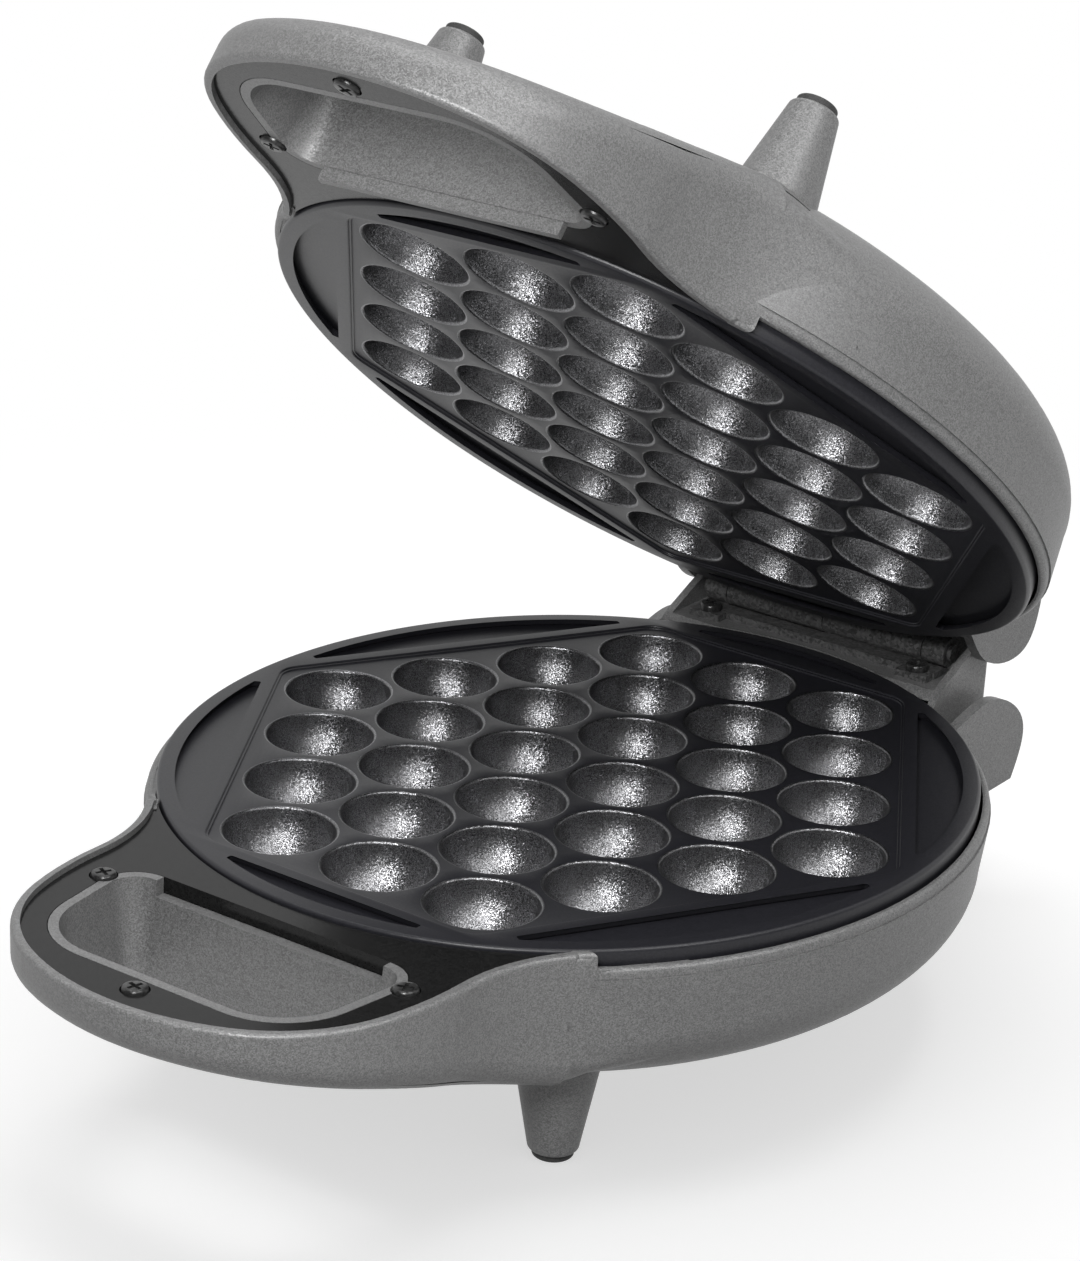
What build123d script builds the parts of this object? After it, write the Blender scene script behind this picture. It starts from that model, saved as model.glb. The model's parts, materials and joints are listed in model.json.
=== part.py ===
# Bubble waffle maker: two hinged halves, each a moulded shell with a loop
# handle and four legs, round a cast plate of half-round batter cups.
#
# Each half is drawn in its own frame: the plate's centre is the origin, x runs
# along the hinge, y points from the handle to the hinge, and z is the depth
# below the parting plane, which is where the shut halves would meet.
# The lower half's depth points down. The lid's frame turns about the hinge.
# In the whole part +Z is up, the handles point along -Y, and the origin is on
# the floor at the middle of the part as it stands open.

from build123d import *
from math import cos, radians, sin, sqrt
import os

os.makedirs("parts", exist_ok=True)

# Batter cups
cup_pitch = 30.0
cup_mouth = 27.0
cup_rows = (3, 4, 5, 6, 5, 4, 3)
field_margin = 3.0
land_width = 3.2

# Cast plate, an oval that is a little longer towards the handle
plate_half_x = 98.5
plate_half_y = 109.0
plate_gap = 0.6
flange_depth = 5.0
field_sink = 1.0
pocket_sink = 2.2
rim_width = 4.0
web_thickness = 2.6
cup_wall = 2.2

# Shell of each half
ledge = 3.0
shell_wall = 2.2
lip_gap = 0.3
side_edge = 4.3
lip_round = 1.2
lip_band = 2.6
lip_step = 0.4
body_depth = 41.0
side_depth = 20.0
side_draft = 1.5
crown_round = 30.0
step_y = -84.0

# Loop handle
handle_reach = 173.5
handle_half = 51.5
handle_flare = 63.5
handle_front_depth = 14.0
handle_root_depth = 34.2
handle_root_y = -92.0
handle_edge_round = 8.0
grip_half = 39.5
grip_near_round = 7.0
grip_far_round = 18.0
grip_near_y = -118.0
grip_far_y = -156.0
grip_draft = 5.0
grip_notch_depth = 5.6
grip_notch_half = 34.0
grip_skirt = 1.5
grip_tongue_rise = 1.8

# Black cover of the handle's open side
trim_sink = 1.6
trim_thickness = 2.2
trim_recess = 1.0
trim_gap = 0.5
trim_lip = 1.6
trim_screw_x = 43.9
trim_screw_y = -124.2
trim_screw_front_y = -162.5

# Legs
leg_x = 49.6
leg_y = 72.5
leg_reach = 60.0
leg_root_radius = 10.5
leg_tip_radius = 6.0
leg_bore = 7.6
leg_web = 3.0
leg_tip_round = 1.2
pad_radius = 5.0
pad_height = 1.8
pad_plug = 5.0

# Posts that carry the plate and the heat shield
post_radius = 4.5
post_foot_radius = 7.0
lug_radius = 4.0
lug_end = 14.0

# Screws
screw_radius = 1.7
screw_clearance = 0.1
clamp_screw_length = 6.0
trim_screw_length = 7.0
leaf_screw_length = 4.0
screw_head_radius = 3.1
screw_head_height = 1.9

# Heating parts under each plate
element_radius = 3.25
element_gap_angle = 30.0
clamp_thickness = 1.2
shield_depth = 28.0
shield_thickness = 0.8
shield_rim = 5.0
shield_margin = 7.5
thermostat_radius = 8.0

# Hinge
hinge_y = 120.4
hinge_rise = 4.5
open_angle = 40.0
barrel_radius = 4.0
pin_radius = 1.6
pin_clearance = 0.1
leaf_thickness = 2.0
leaf_half = 38.0
end_knuckle = 7.0
knuckle_gap = 0.3
leaf_screw_x = 33.0
leaf_screw_y = 111.8
leaf_front_y = 112.4
leaf_tab = 9.5

# Rear tower on the base and the ears on both halves
tower_half = 44.0
tower_wall = 2.2
tower_back_y = 133.4
tower_front_y = 103.0
tower_rise = 7.0
tower_bottom = 20.0
ear_thickness = 3.0
base_ear_x = 49.0
lid_ear_x = 45.2
ear_reach = 140.0
ear_top = 6.0
ear_bottom = 33.0
ear_lean = 4.0
shelf_depth = 1.0
shelf_thickness = 2.4
lid_shelf_reach = 1.0

# Cord inlet, terminal block, thermal fuse and lamps
gland_radius = 5.0
gland_bore = 3.2
gland_z = 12.5
gland_length = 9.0
block_size = (26.0, 13.0, 7.0)
block_y = 62.0
fuse_radius = 1.8
fuse_length = 22.0
fuse_x = 30.0
lamp_x = 9.0
lamp_y = -64.0
lamp_radius = 3.0
lamp_collar = 1.2
lamp_rise = 1.0

# Clearance between pieces that only lie beside each other, or move past
seat_gap = 0.3
trim_fit = 0.2

# Worked out from the sizes above
cup_radius = cup_mouth / 2
screw_hole = screw_radius + screw_clearance
head_hole = screw_head_radius + seat_gap
trim_seat = trim_sink + trim_recess
row_step = cup_pitch * sqrt(3) / 2
field_z = plate_gap + field_sink
flange_z = plate_gap + flange_depth
web_back = plate_gap + pocket_sink + web_thickness
cup_bottom = field_z + cup_radius + cup_wall
body_half_x = plate_half_x + ledge
body_half_y = plate_half_y + ledge
parting_height = leg_reach + pad_height
lug_ring = cup_pitch * 3.5 / sqrt(3)
element_ring = lug_ring + element_radius + lug_radius + seat_gap
element_z = cup_bottom + element_radius
clamp_seat = element_z + element_radius + clamp_thickness
trim_back = trim_sink + trim_thickness
opening = radians(open_angle)
ear_tip = (ear_reach - ear_lean - hinge_y) * cos(opening)
rear_reach = hinge_y + ear_tip + (ear_bottom - hinge_rise) * sin(opening)
plate_y = (handle_reach - rear_reach) / 2

# Frames of the two halves; the lid's turns about the hinge by the open angle
base_frame = Plane(
    origin=(0, plate_y, parting_height), x_dir=(-1, 0, 0), z_dir=(0, 0, -1)
)
lid_frame = Plane(
    origin=(
        0,
        plate_y + hinge_y - hinge_y * cos(opening) - hinge_rise * sin(opening),
        parting_height + hinge_rise + hinge_y * sin(opening) - hinge_rise * cos(opening),
    ),
    x_dir=(1, 0, 0),
    z_dir=(0, sin(opening), cos(opening)),
)


def keep(builder, label, frame=base_frame):
    """Set a finished piece in its half's frame, name it and write it."""
    piece = builder.part.moved(frame.location)
    piece.label = label
    export_step(piece, f"parts/{label}.step")


def cup_places():
    """Centres of the batter cups, row by row from the handle to the hinge."""
    places = []
    middle = (len(cup_rows) - 1) / 2
    for row, count in enumerate(cup_rows):
        for cup in range(count):
            places.append(((cup - (count - 1) / 2) * cup_pitch, (row - middle) * row_step))
    return places


def four_corners(x, y):
    """One place in each quarter of the plan."""
    return [(-x, -y), (x, -y), (-x, y), (x, y)]


def field_corners():
    """Centres of the cups at the six corners of the hexagonal field."""
    row = (len(cup_rows) - 1) / 2 * row_step
    short = (cup_rows[0] - 1) / 2 * cup_pitch
    wide = (max(cup_rows) - 1) / 2 * cup_pitch
    return [(wide, 0), (short, row), (-short, row), (-wide, 0), (-short, -row), (short, -row)]


def dish(wall, top):
    """Round body as a solid, drawn in by a wall's thickness on every side."""
    crown = body_depth - side_depth - wall
    start = wall + side_draft
    band = wall or lip_step
    with BuildPart() as form:
        with BuildSketch(Plane.XY.offset(top)):
            Ellipse(body_half_x - band, body_half_y - band)
        extrude(amount=side_edge + lip_band - top)
        with BuildSketch(Plane.XY.offset(side_edge + lip_band)):
            Ellipse(body_half_x - wall, body_half_y - wall)
        with BuildSketch(Plane.XY.offset(side_depth)):
            Ellipse(body_half_x - start, body_half_y - start)
        loft(ruled=True)
        for turn in (0, 25, 50, 70, 90):
            inset = start + crown_round * (1 - cos(radians(turn)))
            with BuildSketch(Plane.XY.offset(side_depth + crown * sin(radians(turn)))):
                Ellipse(body_half_x - inset, body_half_y - inset)
        loft()
    return form.part


def handle_outline(inset=0.0):
    """Plan of the loop handle, whose root ends inside the round body."""
    root_y = step_y + 14
    with BuildSketch() as plan:
        with BuildLine():
            bow = TangentArc(
                (0, -handle_reach), (handle_half - 22, -handle_reach + 7), tangent=(1, 0)
            )
            corner = TangentArc(bow @ 1, (handle_half, -handle_reach + 34), tangent=bow % 1)
            side = TangentArc(
                corner @ 1, (handle_half + 3, -handle_reach + 58), tangent=corner % 1
            )
            flare = TangentArc(side @ 1, (handle_flare, step_y - 4), tangent=side % 1)
            Polyline(flare @ 1, (handle_flare, root_y), (0, root_y))
            mirror(about=Plane.YZ)
        make_face()
        if inset:
            offset(amount=-inset)
    return plan.sketch


def grip_outline(grow=0.0):
    """Plan of the finger opening, straight beside the plate and rounded in front."""
    with BuildSketch() as plan:
        Polygon(
            (-grip_half - 2, grip_near_y),
            (grip_half + 2, grip_near_y),
            (grip_half - 3, grip_far_y),
            (3 - grip_half, grip_far_y),
            align=None,
        )
        fillet(plan.vertices().group_by(Axis.Y)[-1], radius=grip_near_round)
        fillet(plan.vertices().group_by(Axis.Y)[0], radius=grip_far_round)
        if grow:
            offset(amount=grow)
    return plan.sketch


def grip_hole():
    """Finger opening as a solid, drawn in by the draft towards the underside."""
    with BuildPart() as hole:
        with BuildSketch(Plane.XY):
            add(grip_outline())
        with BuildSketch(Plane.XY.offset(body_depth)):
            add(grip_outline(-grip_draft))
        loft(ruled=True)
    return hole.part


def handle_form(wall, top):
    """Loop handle as a solid: its plan cut to the sloping underside."""
    with BuildPart() as form:
        add(handle_outline(wall))
        extrude(amount=body_depth)
        with BuildSketch(Plane.YZ):
            with BuildLine():
                front = -handle_reach - 10
                back = handle_root_y + 30
                under = Spline(
                    (front, handle_front_depth - 2 - wall),
                    (-handle_reach + 14, handle_front_depth - wall),
                    (handle_root_y, handle_root_depth - wall),
                    (back, body_depth - 3 - wall),
                )
                Polyline(under @ 1, (back, top), (front, top), under @ 0)
            make_face()
        extrude(amount=body_half_x, both=True, mode=Mode.INTERSECT)
    return form.part


def outer_form():
    """Outside of a half, before it is hollowed and opened."""
    with BuildPart() as form:
        add(handle_form(0, lip_gap))
        under = form.faces().filter_by(lambda face: face.normal_at().Z > 0.5)
        walls = form.faces().filter_by(lambda face: abs(face.normal_at().Z) < 0.1)
        rim = [edge for edge in under.edges() if edge in walls.edges()]
        fillet([edge for edge in rim if edge.center().Y < handle_root_y + 25],
               radius=handle_edge_round)
        add(dish(0, lip_gap))
        fillet(form.faces().sort_by(Axis.Z)[0].edges(), radius=lip_round)
    return form.part


half_outside = outer_form()
half_inside = [dish(shell_wall, -tower_rise - 1), handle_form(shell_wall, -1)]


def trim_screw_places():
    """Two screws beside the grip opening and one in front of it."""
    return [
        (-trim_screw_x, trim_screw_y),
        (trim_screw_x, trim_screw_y),
        (0, trim_screw_front_y),
    ]


def clamp_places():
    """Free spots between three cups where a lug can stand, with their angles."""
    side = 2 * cup_pitch
    lift = row_step / 3
    return [(0, -lug_ring), (side, lift), (-side, lift)]


def rods(places, radius, start, length):
    """Round rods square to the parting plane, for holes and bosses."""
    with BuildPart() as group:
        with BuildSketch(Plane.XY.offset(start)):
            with Locations(*places):
                Circle(radius)
        extrude(amount=length)
    return group.part


def inner_columns(places, radius, top):
    """Round bosses that grow from the shell's inside up to a seat."""
    with BuildPart() as columns:
        with BuildSketch(Plane.XY.offset(top)):
            with Locations(*places):
                Circle(radius)
        extrude(amount=body_depth)
        add(half_outside, mode=Mode.INTERSECT)
    return columns.part


def grip_tube(lid):
    """Wall round the finger opening: beside the plate the base's is lower, and
    the lid's stands up as a tongue that covers the gap when the maker is shut."""
    tongue = shell_wall - 2 * trim_fit
    with BuildPart() as tube:
        with BuildSketch(Plane.XY.offset(trim_sink)):
            add(grip_outline(shell_wall))
        extrude(amount=body_depth)
        add(half_outside, mode=Mode.INTERSECT)
        with BuildSketch(Plane.XY.offset(-grip_tongue_rise)):
            with Locations((0, grip_near_y + tongue / 2)):
                Rectangle(2 * grip_notch_half - 2, tongue if lid else 4 * shell_wall)
        depth = grip_tongue_rise + (trim_sink + 1 if lid else grip_notch_depth)
        extrude(amount=depth, mode=Mode.ADD if lid else Mode.SUBTRACT)
    return tube.part


def tower():
    """Box behind the base's hinge, open above its shelf."""
    with BuildPart() as box:
        with BuildSketch(Plane.YZ):
            with BuildLine():
                rise = Spline(
                    (tower_front_y, side_edge + 1),
                    (tower_front_y + 7, -1),
                    (tower_back_y - 12, -tower_rise + 1),
                    (tower_back_y - 6, -tower_rise),
                    tangents=((0.2, -1), (1, 0)),
                )
                Polyline(
                    rise @ 1,
                    (tower_back_y, -tower_rise),
                    (tower_back_y, tower_bottom),
                    (body_half_y * 0.7, tower_bottom),
                    (body_half_y * 0.7, side_edge + 1),
                    rise @ 0,
                )
            make_face()
        extrude(amount=tower_half, both=True)
        back = box.edges().filter_by(Axis.Z).group_by(Axis.Y)[-1]
        foot = box.edges().filter_by(Axis.X).group_by(Axis.Z)[-1].sort_by(Axis.Y)[-1]
        fillet(back + [foot], radius=tower_wall + 1.5)
        inner_y = tower_back_y - tower_wall
        with BuildSketch(Plane.XY.offset(-tower_rise - 1)):
            with Locations((0, inner_y - tower_back_y / 2)):
                Rectangle(2 * (tower_half - tower_wall), tower_back_y)
        extrude(amount=tower_rise + 1 + shelf_depth, mode=Mode.SUBTRACT)
        with BuildSketch(Plane.XY.offset(shelf_depth + shelf_thickness)):
            with Locations((0, inner_y - tower_back_y / 4)):
                Rectangle(2 * (tower_half - tower_wall), tower_back_y / 2)
        hollow = tower_bottom - tower_wall - shelf_depth - shelf_thickness
        extrude(amount=hollow, mode=Mode.SUBTRACT)
    return box.part


def ears(inner_x):
    """Pair of thin fins behind a half, on which it stands when stored upright."""
    front = body_half_y * 0.8
    with BuildPart() as pair:
        for x in (inner_x, -inner_x - ear_thickness):
            with BuildSketch(Plane.YZ.offset(x)):
                with BuildLine():
                    crest = Spline(
                        (front, ear_top + 3),
                        (ear_reach - 16, ear_top),
                        (ear_reach, ear_top + 12),
                        (ear_reach - ear_lean, ear_bottom),
                        tangents=((1, 0), (-0.6, 1)),
                    )
                    Polyline(crest @ 1, (front, ear_bottom), crest @ 0)
                make_face()
            extrude(amount=ear_thickness)
    return pair.part


def lid_shelf():
    """Shelf behind the lid for the upper hinge leaf, with three gussets."""
    top = 2 * hinge_rise + leaf_thickness - 1
    reach = hinge_y + lid_shelf_reach
    half = tower_half - tower_wall - 0.8
    with BuildPart() as shelf:
        with BuildSketch(Plane.XY.offset(top)):
            with Locations((0, reach / 2)):
                Rectangle(2 * half, reach)
        extrude(amount=shelf_thickness)
        for x in (-half + 2, 0, half - 2):
            with BuildSketch(Plane.YZ.offset(x - 1)):
                Polygon((reach * 0.6, top + 1), (reach, top + 1), (reach * 0.6, top + 22),
                        align=None)
            extrude(amount=2)
    return shelf.part


def leg_root():
    """Depth at which the legs leave the posts inside the shell."""
    return body_depth - leg_web - shell_wall


def housing(lid):
    """Moulded shell of one half: body, loop handle, legs, posts and rear."""
    corners = four_corners(leg_x, leg_y)
    with BuildPart() as shell:
        add(half_outside)
        with BuildSketch(Plane.XY.offset(lip_gap)):
            with Locations((0, step_y + body_half_y)):
                Rectangle(2 * body_half_x + 2, 2 * body_half_y)
        extrude(amount=side_edge - lip_gap, mode=Mode.SUBTRACT)
        lip = shell.edges().filter_by_position(Axis.Z, side_edge - 0.01, side_edge + 0.01)
        fillet(lip.sort_by(Axis.Y)[-1], radius=lip_round)
        add(lid_shelf() if lid else tower())
        add(ears(lid_ear_x if lid else base_ear_x))
        add(half_inside, mode=Mode.SUBTRACT)
        add(grip_tube(lid))
        add(inner_columns(trim_screw_places(), screw_radius + 2, trim_back))
        add(inner_columns(corners, post_foot_radius, shield_depth))
        add(inner_columns(corners, post_radius, lug_end))
        with BuildSketch(Plane.XY.offset(leg_root())):
            with Locations(*corners):
                Circle(leg_root_radius)
        length = leg_reach - leg_root()
        slope = (leg_root_radius - leg_tip_radius) / length
        extrude(amount=length, taper=degrees_of(slope))
        fillet(shell.edges().group_by(Axis.Z)[-1], radius=leg_tip_round)
        add(grip_hole(), mode=Mode.SUBTRACT)
        add(rods(corners, screw_hole, lug_end, body_depth), mode=Mode.SUBTRACT)
        add(rods(corners, leg_bore / 2, body_depth - shell_wall, leg_reach), mode=Mode.SUBTRACT)
        add(rods(trim_screw_places(), screw_hole, 0, trim_screw_length + 3), mode=Mode.SUBTRACT)
        add(rods(trim_screw_places(), head_hole, 0, trim_seat), mode=Mode.SUBTRACT)
        add(rods(leaf_screw_places(), screw_hole, leaf_flat_z(lid), leaf_screw_length + 1),
            mode=Mode.SUBTRACT)
        if lid:
            lamps = [(-lamp_x, lamp_y), (lamp_x, lamp_y)]
            add(rods(lamps, lamp_radius + screw_clearance, side_depth, body_depth),
                mode=Mode.SUBTRACT)
        else:
            with BuildSketch(Plane.XZ.offset(-tower_back_y - 1)):
                with Locations((0, gland_z)):
                    Circle(gland_radius)
            extrude(amount=tower_wall + 2, mode=Mode.SUBTRACT)
    return shell


def degrees_of(slope):
    """Angle of a slope, in degrees."""
    return Vector(1, 0, 0).get_angle(Vector(1, slope, 0))


def handle_trim(lid):
    """Black cover over the handle's open side; the base's has a skirt that the
    lid's tongue goes down beside."""
    fit = shell_wall + trim_fit
    with BuildPart() as trim:
        with BuildSketch(Plane.XY.offset(trim_sink)):
            add(handle_outline(fit))
            Ellipse(body_half_x - fit, body_half_y - fit)
            with Locations((0, step_y - 1 + body_half_y)):
                Rectangle(3 * body_half_x, 2 * body_half_y, mode=Mode.SUBTRACT)
            Ellipse(plate_half_x + trim_gap, plate_half_y + trim_gap, mode=Mode.SUBTRACT)
        extrude(amount=trim_thickness)
        if not lid:
            with BuildSketch(Plane.XY.offset(trim_sink)):
                with Locations((0, grip_near_y + fit + grip_skirt / 2)):
                    Rectangle(2 * grip_notch_half, grip_skirt)
            extrude(amount=grip_notch_depth + grip_skirt - trim_sink)
        with BuildSketch(Plane.XY):
            add(grip_outline(fit))
        extrude(amount=trim_back, mode=Mode.SUBTRACT)
        add(rods(trim_screw_places(), screw_hole, 0, trim_back), mode=Mode.SUBTRACT)
        add(rods(trim_screw_places(), head_hole, 0, trim_seat), mode=Mode.SUBTRACT)
    return trim


def field_outline(grow):
    """Hexagon round the batter cups, grown past their outer mouths."""
    with BuildSketch() as plan:
        Polygon(*field_corners(), align=None)
        offset(amount=grow, kind=Kind.INTERSECTION)
        fillet(plan.vertices(), radius=6)
    return plan.sketch


def cooking_plate():
    """Cast plate: oval flange, recessed field, six pockets and the cups."""
    field_grow = cup_radius + field_margin
    corners = four_corners(leg_x, leg_y)
    with BuildPart() as plate:
        with BuildSketch(Plane.XY.offset(plate_gap)):
            Ellipse(plate_half_x, plate_half_y)
        extrude(amount=flange_depth)
        with BuildSketch(Plane.XY.offset(web_back)):
            Ellipse(plate_half_x - rim_width, plate_half_y - rim_width)
        extrude(amount=flange_depth, mode=Mode.SUBTRACT)
        with BuildSketch(Plane.XY.offset(plate_gap)):
            add(field_outline(field_grow))
        extrude(amount=field_sink, mode=Mode.SUBTRACT)
        with BuildSketch(Plane.XY.offset(plate_gap)):
            Ellipse(plate_half_x - rim_width, plate_half_y - rim_width)
            add(field_outline(field_grow + land_width), mode=Mode.SUBTRACT)
            add(pocket_stops(), mode=Mode.SUBTRACT)
        extrude(amount=pocket_sink, mode=Mode.SUBTRACT)
        with BuildSketch(Plane.XY.offset(web_back - 0.5)):
            with Locations(*cup_places()):
                Circle(cup_radius + 0.6)
        extrude(amount=cup_bottom - web_back + 0.5, taper=32)
        root = field_z + 1
        add(rods(clamp_places(), lug_radius, root, element_z + element_radius - root))
        add(rods(corners, lug_radius, root, lug_end - root))
        add(rods([(0, 0)], lug_radius + 2, root, cup_bottom + 1 - root))
        with Locations(*[(x, y, field_z) for x, y in cup_places()]):
            Sphere(cup_radius, mode=Mode.SUBTRACT)
        add(rods(corners, screw_hole, flange_z + 1, leg_reach), mode=Mode.SUBTRACT)
        add(rods(clamp_places(), screw_hole, clamp_seat - clamp_screw_length - 0.5, leg_reach),
            mode=Mode.SUBTRACT)
    return plate


def pocket_stops():
    """Bars of land that part the six pockets at the field's corners."""
    with BuildSketch() as bars:
        for x, y in field_corners():
            turn = Vector(1, 0, 0).get_signed_angle(Vector(x, y, 0), Vector(0, 0, 1))
            with Locations(Location((0, 0, 0), (0, 0, turn))):
                with Locations((plate_half_y * 0.9, 0)):
                    Rectangle(plate_half_y * 0.5, land_width * 2)
    return bars.sketch


def heating_element():
    """Round tube under the cups with its two cold pins at the rear."""
    start = 90 + element_gap_angle / 2
    with BuildPart() as element:
        with BuildLine(Plane.XY.offset(element_z)) as ring:
            path = CenterArc((0, 0), element_ring, start, 360 - element_gap_angle)
        with BuildSketch(Plane(path @ 0, z_dir=path % 0)):
            Circle(element_radius)
        sweep(path=path)
        for end in (path @ 0, path @ 1):
            with BuildSketch(Plane.XY.offset(element_z)):
                with Locations((end.X, end.Y)):
                    Circle(element_radius - 1.2)
            extrude(amount=element_radius + 2.5)
    return element


def element_clamps():
    """Three flat clamps, each screwed to a lug and pressing on the tube."""
    length = element_ring - lug_ring + 2 * lug_radius
    with BuildPart() as clamps:
        for x, y in clamp_places():
            turn = Vector(1, 0, 0).get_signed_angle(Vector(x, y, 0), Vector(0, 0, 1))
            with BuildSketch(Plane.XY.offset(element_z + element_radius)):
                with Locations(Location((0, 0, 0), (0, 0, turn))):
                    with Locations((lug_ring - lug_radius + length / 2, 0)):
                        SlotOverall(length, 2 * lug_radius)
                    with Locations((lug_ring, 0)):
                        Circle(screw_hole, mode=Mode.SUBTRACT)
            extrude(amount=clamp_thickness)
    return clamps


def screws(places, seat, length, into):
    """Group of pan-head screws; into is -1 where they go towards the plate."""
    with BuildPart() as group:
        with BuildSketch(Plane.XY.offset(seat)):
            with Locations(*places):
                Circle(screw_head_radius)
        extrude(amount=-into * screw_head_height)
        rims = group.edges().group_by(Axis.Z)[0 if into > 0 else -1]
        fillet(rims, radius=screw_head_height * 0.4)
        with BuildSketch(Plane.XY.offset(seat)):
            with Locations(*places):
                Circle(screw_radius)
        extrude(amount=into * length)
    return group


def heat_shield():
    """Sheet pan between the element and the shell, seated on the posts."""
    half_x = body_half_x - shield_margin
    half_y = body_half_y - shield_margin
    with BuildPart() as shield:
        with BuildSketch(Plane.XY.offset(shield_depth - shield_rim)):
            Ellipse(half_x, half_y)
        extrude(amount=shield_rim)
        with BuildSketch(Plane.XY.offset(shield_depth - shield_rim)):
            Ellipse(half_x - shield_thickness, half_y - shield_thickness)
        extrude(amount=shield_rim - shield_thickness, mode=Mode.SUBTRACT)
        with BuildSketch(Plane.XY.offset(shield_depth - shield_rim)):
            with Locations(*four_corners(leg_x, leg_y)):
                Circle(post_radius + 0.3)
            with Locations((0, element_ring)):
                SlotOverall(element_ring, 10)
        extrude(amount=shield_rim, mode=Mode.SUBTRACT)
    return shield


def thermostat():
    """Disc thermostat between the plate's middle pad and the shield."""
    shield_top = shield_depth - shield_thickness
    with BuildPart() as disc:
        with BuildSketch(Plane.XY.offset(cup_bottom + 1)):
            Circle(thermostat_radius)
        extrude(amount=shield_top - cup_bottom - 3)
        with BuildSketch(Plane.XY.offset(cup_bottom + 1)):
            Circle(thermostat_radius - 4)
            with Locations((-thermostat_radius + 2.5, 0), (thermostat_radius - 2.5, 0)):
                Rectangle(0.8, 5)
        extrude(amount=shield_top - cup_bottom - 1)
    return disc


def foot_pad(x, y):
    """Rubber pad with a plug that stops the leg's bore."""
    with BuildPart() as pad:
        with BuildSketch(Plane.XY.offset(leg_reach)):
            with Locations((x, y)):
                Circle(pad_radius)
        extrude(amount=pad_height)
        fillet(pad.edges().group_by(Axis.Z)[-1], radius=pad_height * 0.4)
        with BuildSketch(Plane.XY.offset(leg_reach)):
            with Locations((x, y)):
                Circle(leg_bore / 2 - screw_clearance)
        extrude(amount=-pad_plug)
    return pad


def knuckle_spans(mirrored=False):
    """Start and end of a leaf's two knuckles, one long and one short."""
    middle = leaf_half - end_knuckle
    spans = [(-middle, -knuckle_gap / 2), (middle + knuckle_gap, leaf_half)]
    if mirrored:
        return [(-end, -start) for start, end in spans]
    return spans


def leaf_flat_z(lid):
    """Depth of a leaf's outer face: under the base's barrel, over the lid's."""
    return 2 * hinge_rise - 1 if lid else shelf_depth - leaf_thickness


def hinge_leaf(lid):
    """Steel leaf with its two rolled knuckles round the pin."""
    axis_z = hinge_rise if lid else -hinge_rise
    with BuildPart() as leaf:
        with BuildSketch(Plane.XY.offset(leaf_flat_z(lid))):
            with Locations((0, (leaf_front_y + hinge_y) / 2)):
                Rectangle(2 * leaf_half, hinge_y - leaf_front_y)
            for x in (-leaf_screw_x, leaf_screw_x):
                with Locations((x, leaf_screw_y)):
                    Rectangle(leaf_tab, leaf_tab * 0.7)
            with Locations(*leaf_screw_places()):
                Circle(screw_hole, mode=Mode.SUBTRACT)
        extrude(amount=leaf_thickness)
        for start, end in knuckle_spans(mirrored=True):
            with BuildSketch(Plane.YZ.offset(start - knuckle_gap)):
                with Locations((hinge_y, axis_z)):
                    Circle(barrel_radius + knuckle_gap)
            extrude(amount=end - start + 2 * knuckle_gap, mode=Mode.SUBTRACT)
        for start, end in knuckle_spans():
            with BuildSketch(Plane.YZ.offset(start)):
                with Locations((hinge_y, axis_z)):
                    Circle(barrel_radius)
            extrude(amount=end - start)
        with BuildSketch(Plane.YZ.offset(-leaf_half)):
            with Locations((hinge_y, axis_z)):
                Circle(pin_radius + pin_clearance)
        extrude(amount=2 * leaf_half, mode=Mode.SUBTRACT)
    return leaf


def leaf_screw_places():
    """One screw at each end of a hinge leaf."""
    return [(-leaf_screw_x, leaf_screw_y), (leaf_screw_x, leaf_screw_y)]


def hinge_pin():
    """Pin through all four knuckles, headed at both ends."""
    head = 1.2
    with BuildPart() as pin:
        with BuildSketch(Plane.YZ.offset(-leaf_half - 0.2)):
            with Locations((hinge_y, -hinge_rise)):
                Circle(pin_radius)
        extrude(amount=2 * leaf_half + 0.4)
        for x in (-leaf_half - 0.2 - head, leaf_half + 0.2):
            with BuildSketch(Plane.YZ.offset(x)):
                with Locations((hinge_y, -hinge_rise)):
                    Circle(pin_radius + 0.9)
            extrude(amount=head)
    return pin


def cord_gland():
    """Rubber bush in the tower's back wall, where the mains lead would enter."""
    with BuildPart() as gland:
        with BuildSketch(Plane.XZ.offset(-tower_back_y - 1.6)):
            with Locations((0, gland_z)):
                Circle(gland_radius + 1.6)
        extrude(amount=1.6)
        with BuildSketch(Plane.XZ.offset(-tower_back_y - 1.6)):
            with Locations((0, gland_z)):
                Circle(gland_radius)
        extrude(amount=gland_length)
        with BuildSketch(Plane.XZ.offset(-tower_back_y - 1.6)):
            with Locations((0, gland_z)):
                Circle(gland_bore)
        extrude(amount=gland_length, mode=Mode.SUBTRACT)
    return gland


def terminal_block():
    """Three-way block on the base's floor for the inner wiring."""
    length, width, height = block_size
    floor = body_depth - shell_wall
    with BuildPart() as block:
        with BuildSketch(Plane.XY.offset(floor)):
            with Locations((0, block_y)):
                Rectangle(length, width)
        extrude(amount=-height / 2)
        with BuildSketch(Plane.XY.offset(floor - height / 2)):
            with Locations((0, block_y)):
                with GridLocations(length / 3, 1, 3, 1):
                    Rectangle(length / 4, width * 0.8)
        extrude(amount=-height / 2)
        with BuildSketch(Plane.XY.offset(floor - height)):
            with Locations((0, block_y)):
                with GridLocations(length / 3, 1, 3, 1):
                    Circle(1.6)
        extrude(amount=height / 3, mode=Mode.SUBTRACT)
    return block


def thermal_fuse():
    """Thermal fuse in its sleeve under the base's shield."""
    with BuildPart() as fuse:
        with BuildSketch(Plane.XZ):
            with Locations((fuse_x, shield_depth + fuse_radius)):
                Circle(fuse_radius)
        extrude(amount=fuse_length)
    return fuse


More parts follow.
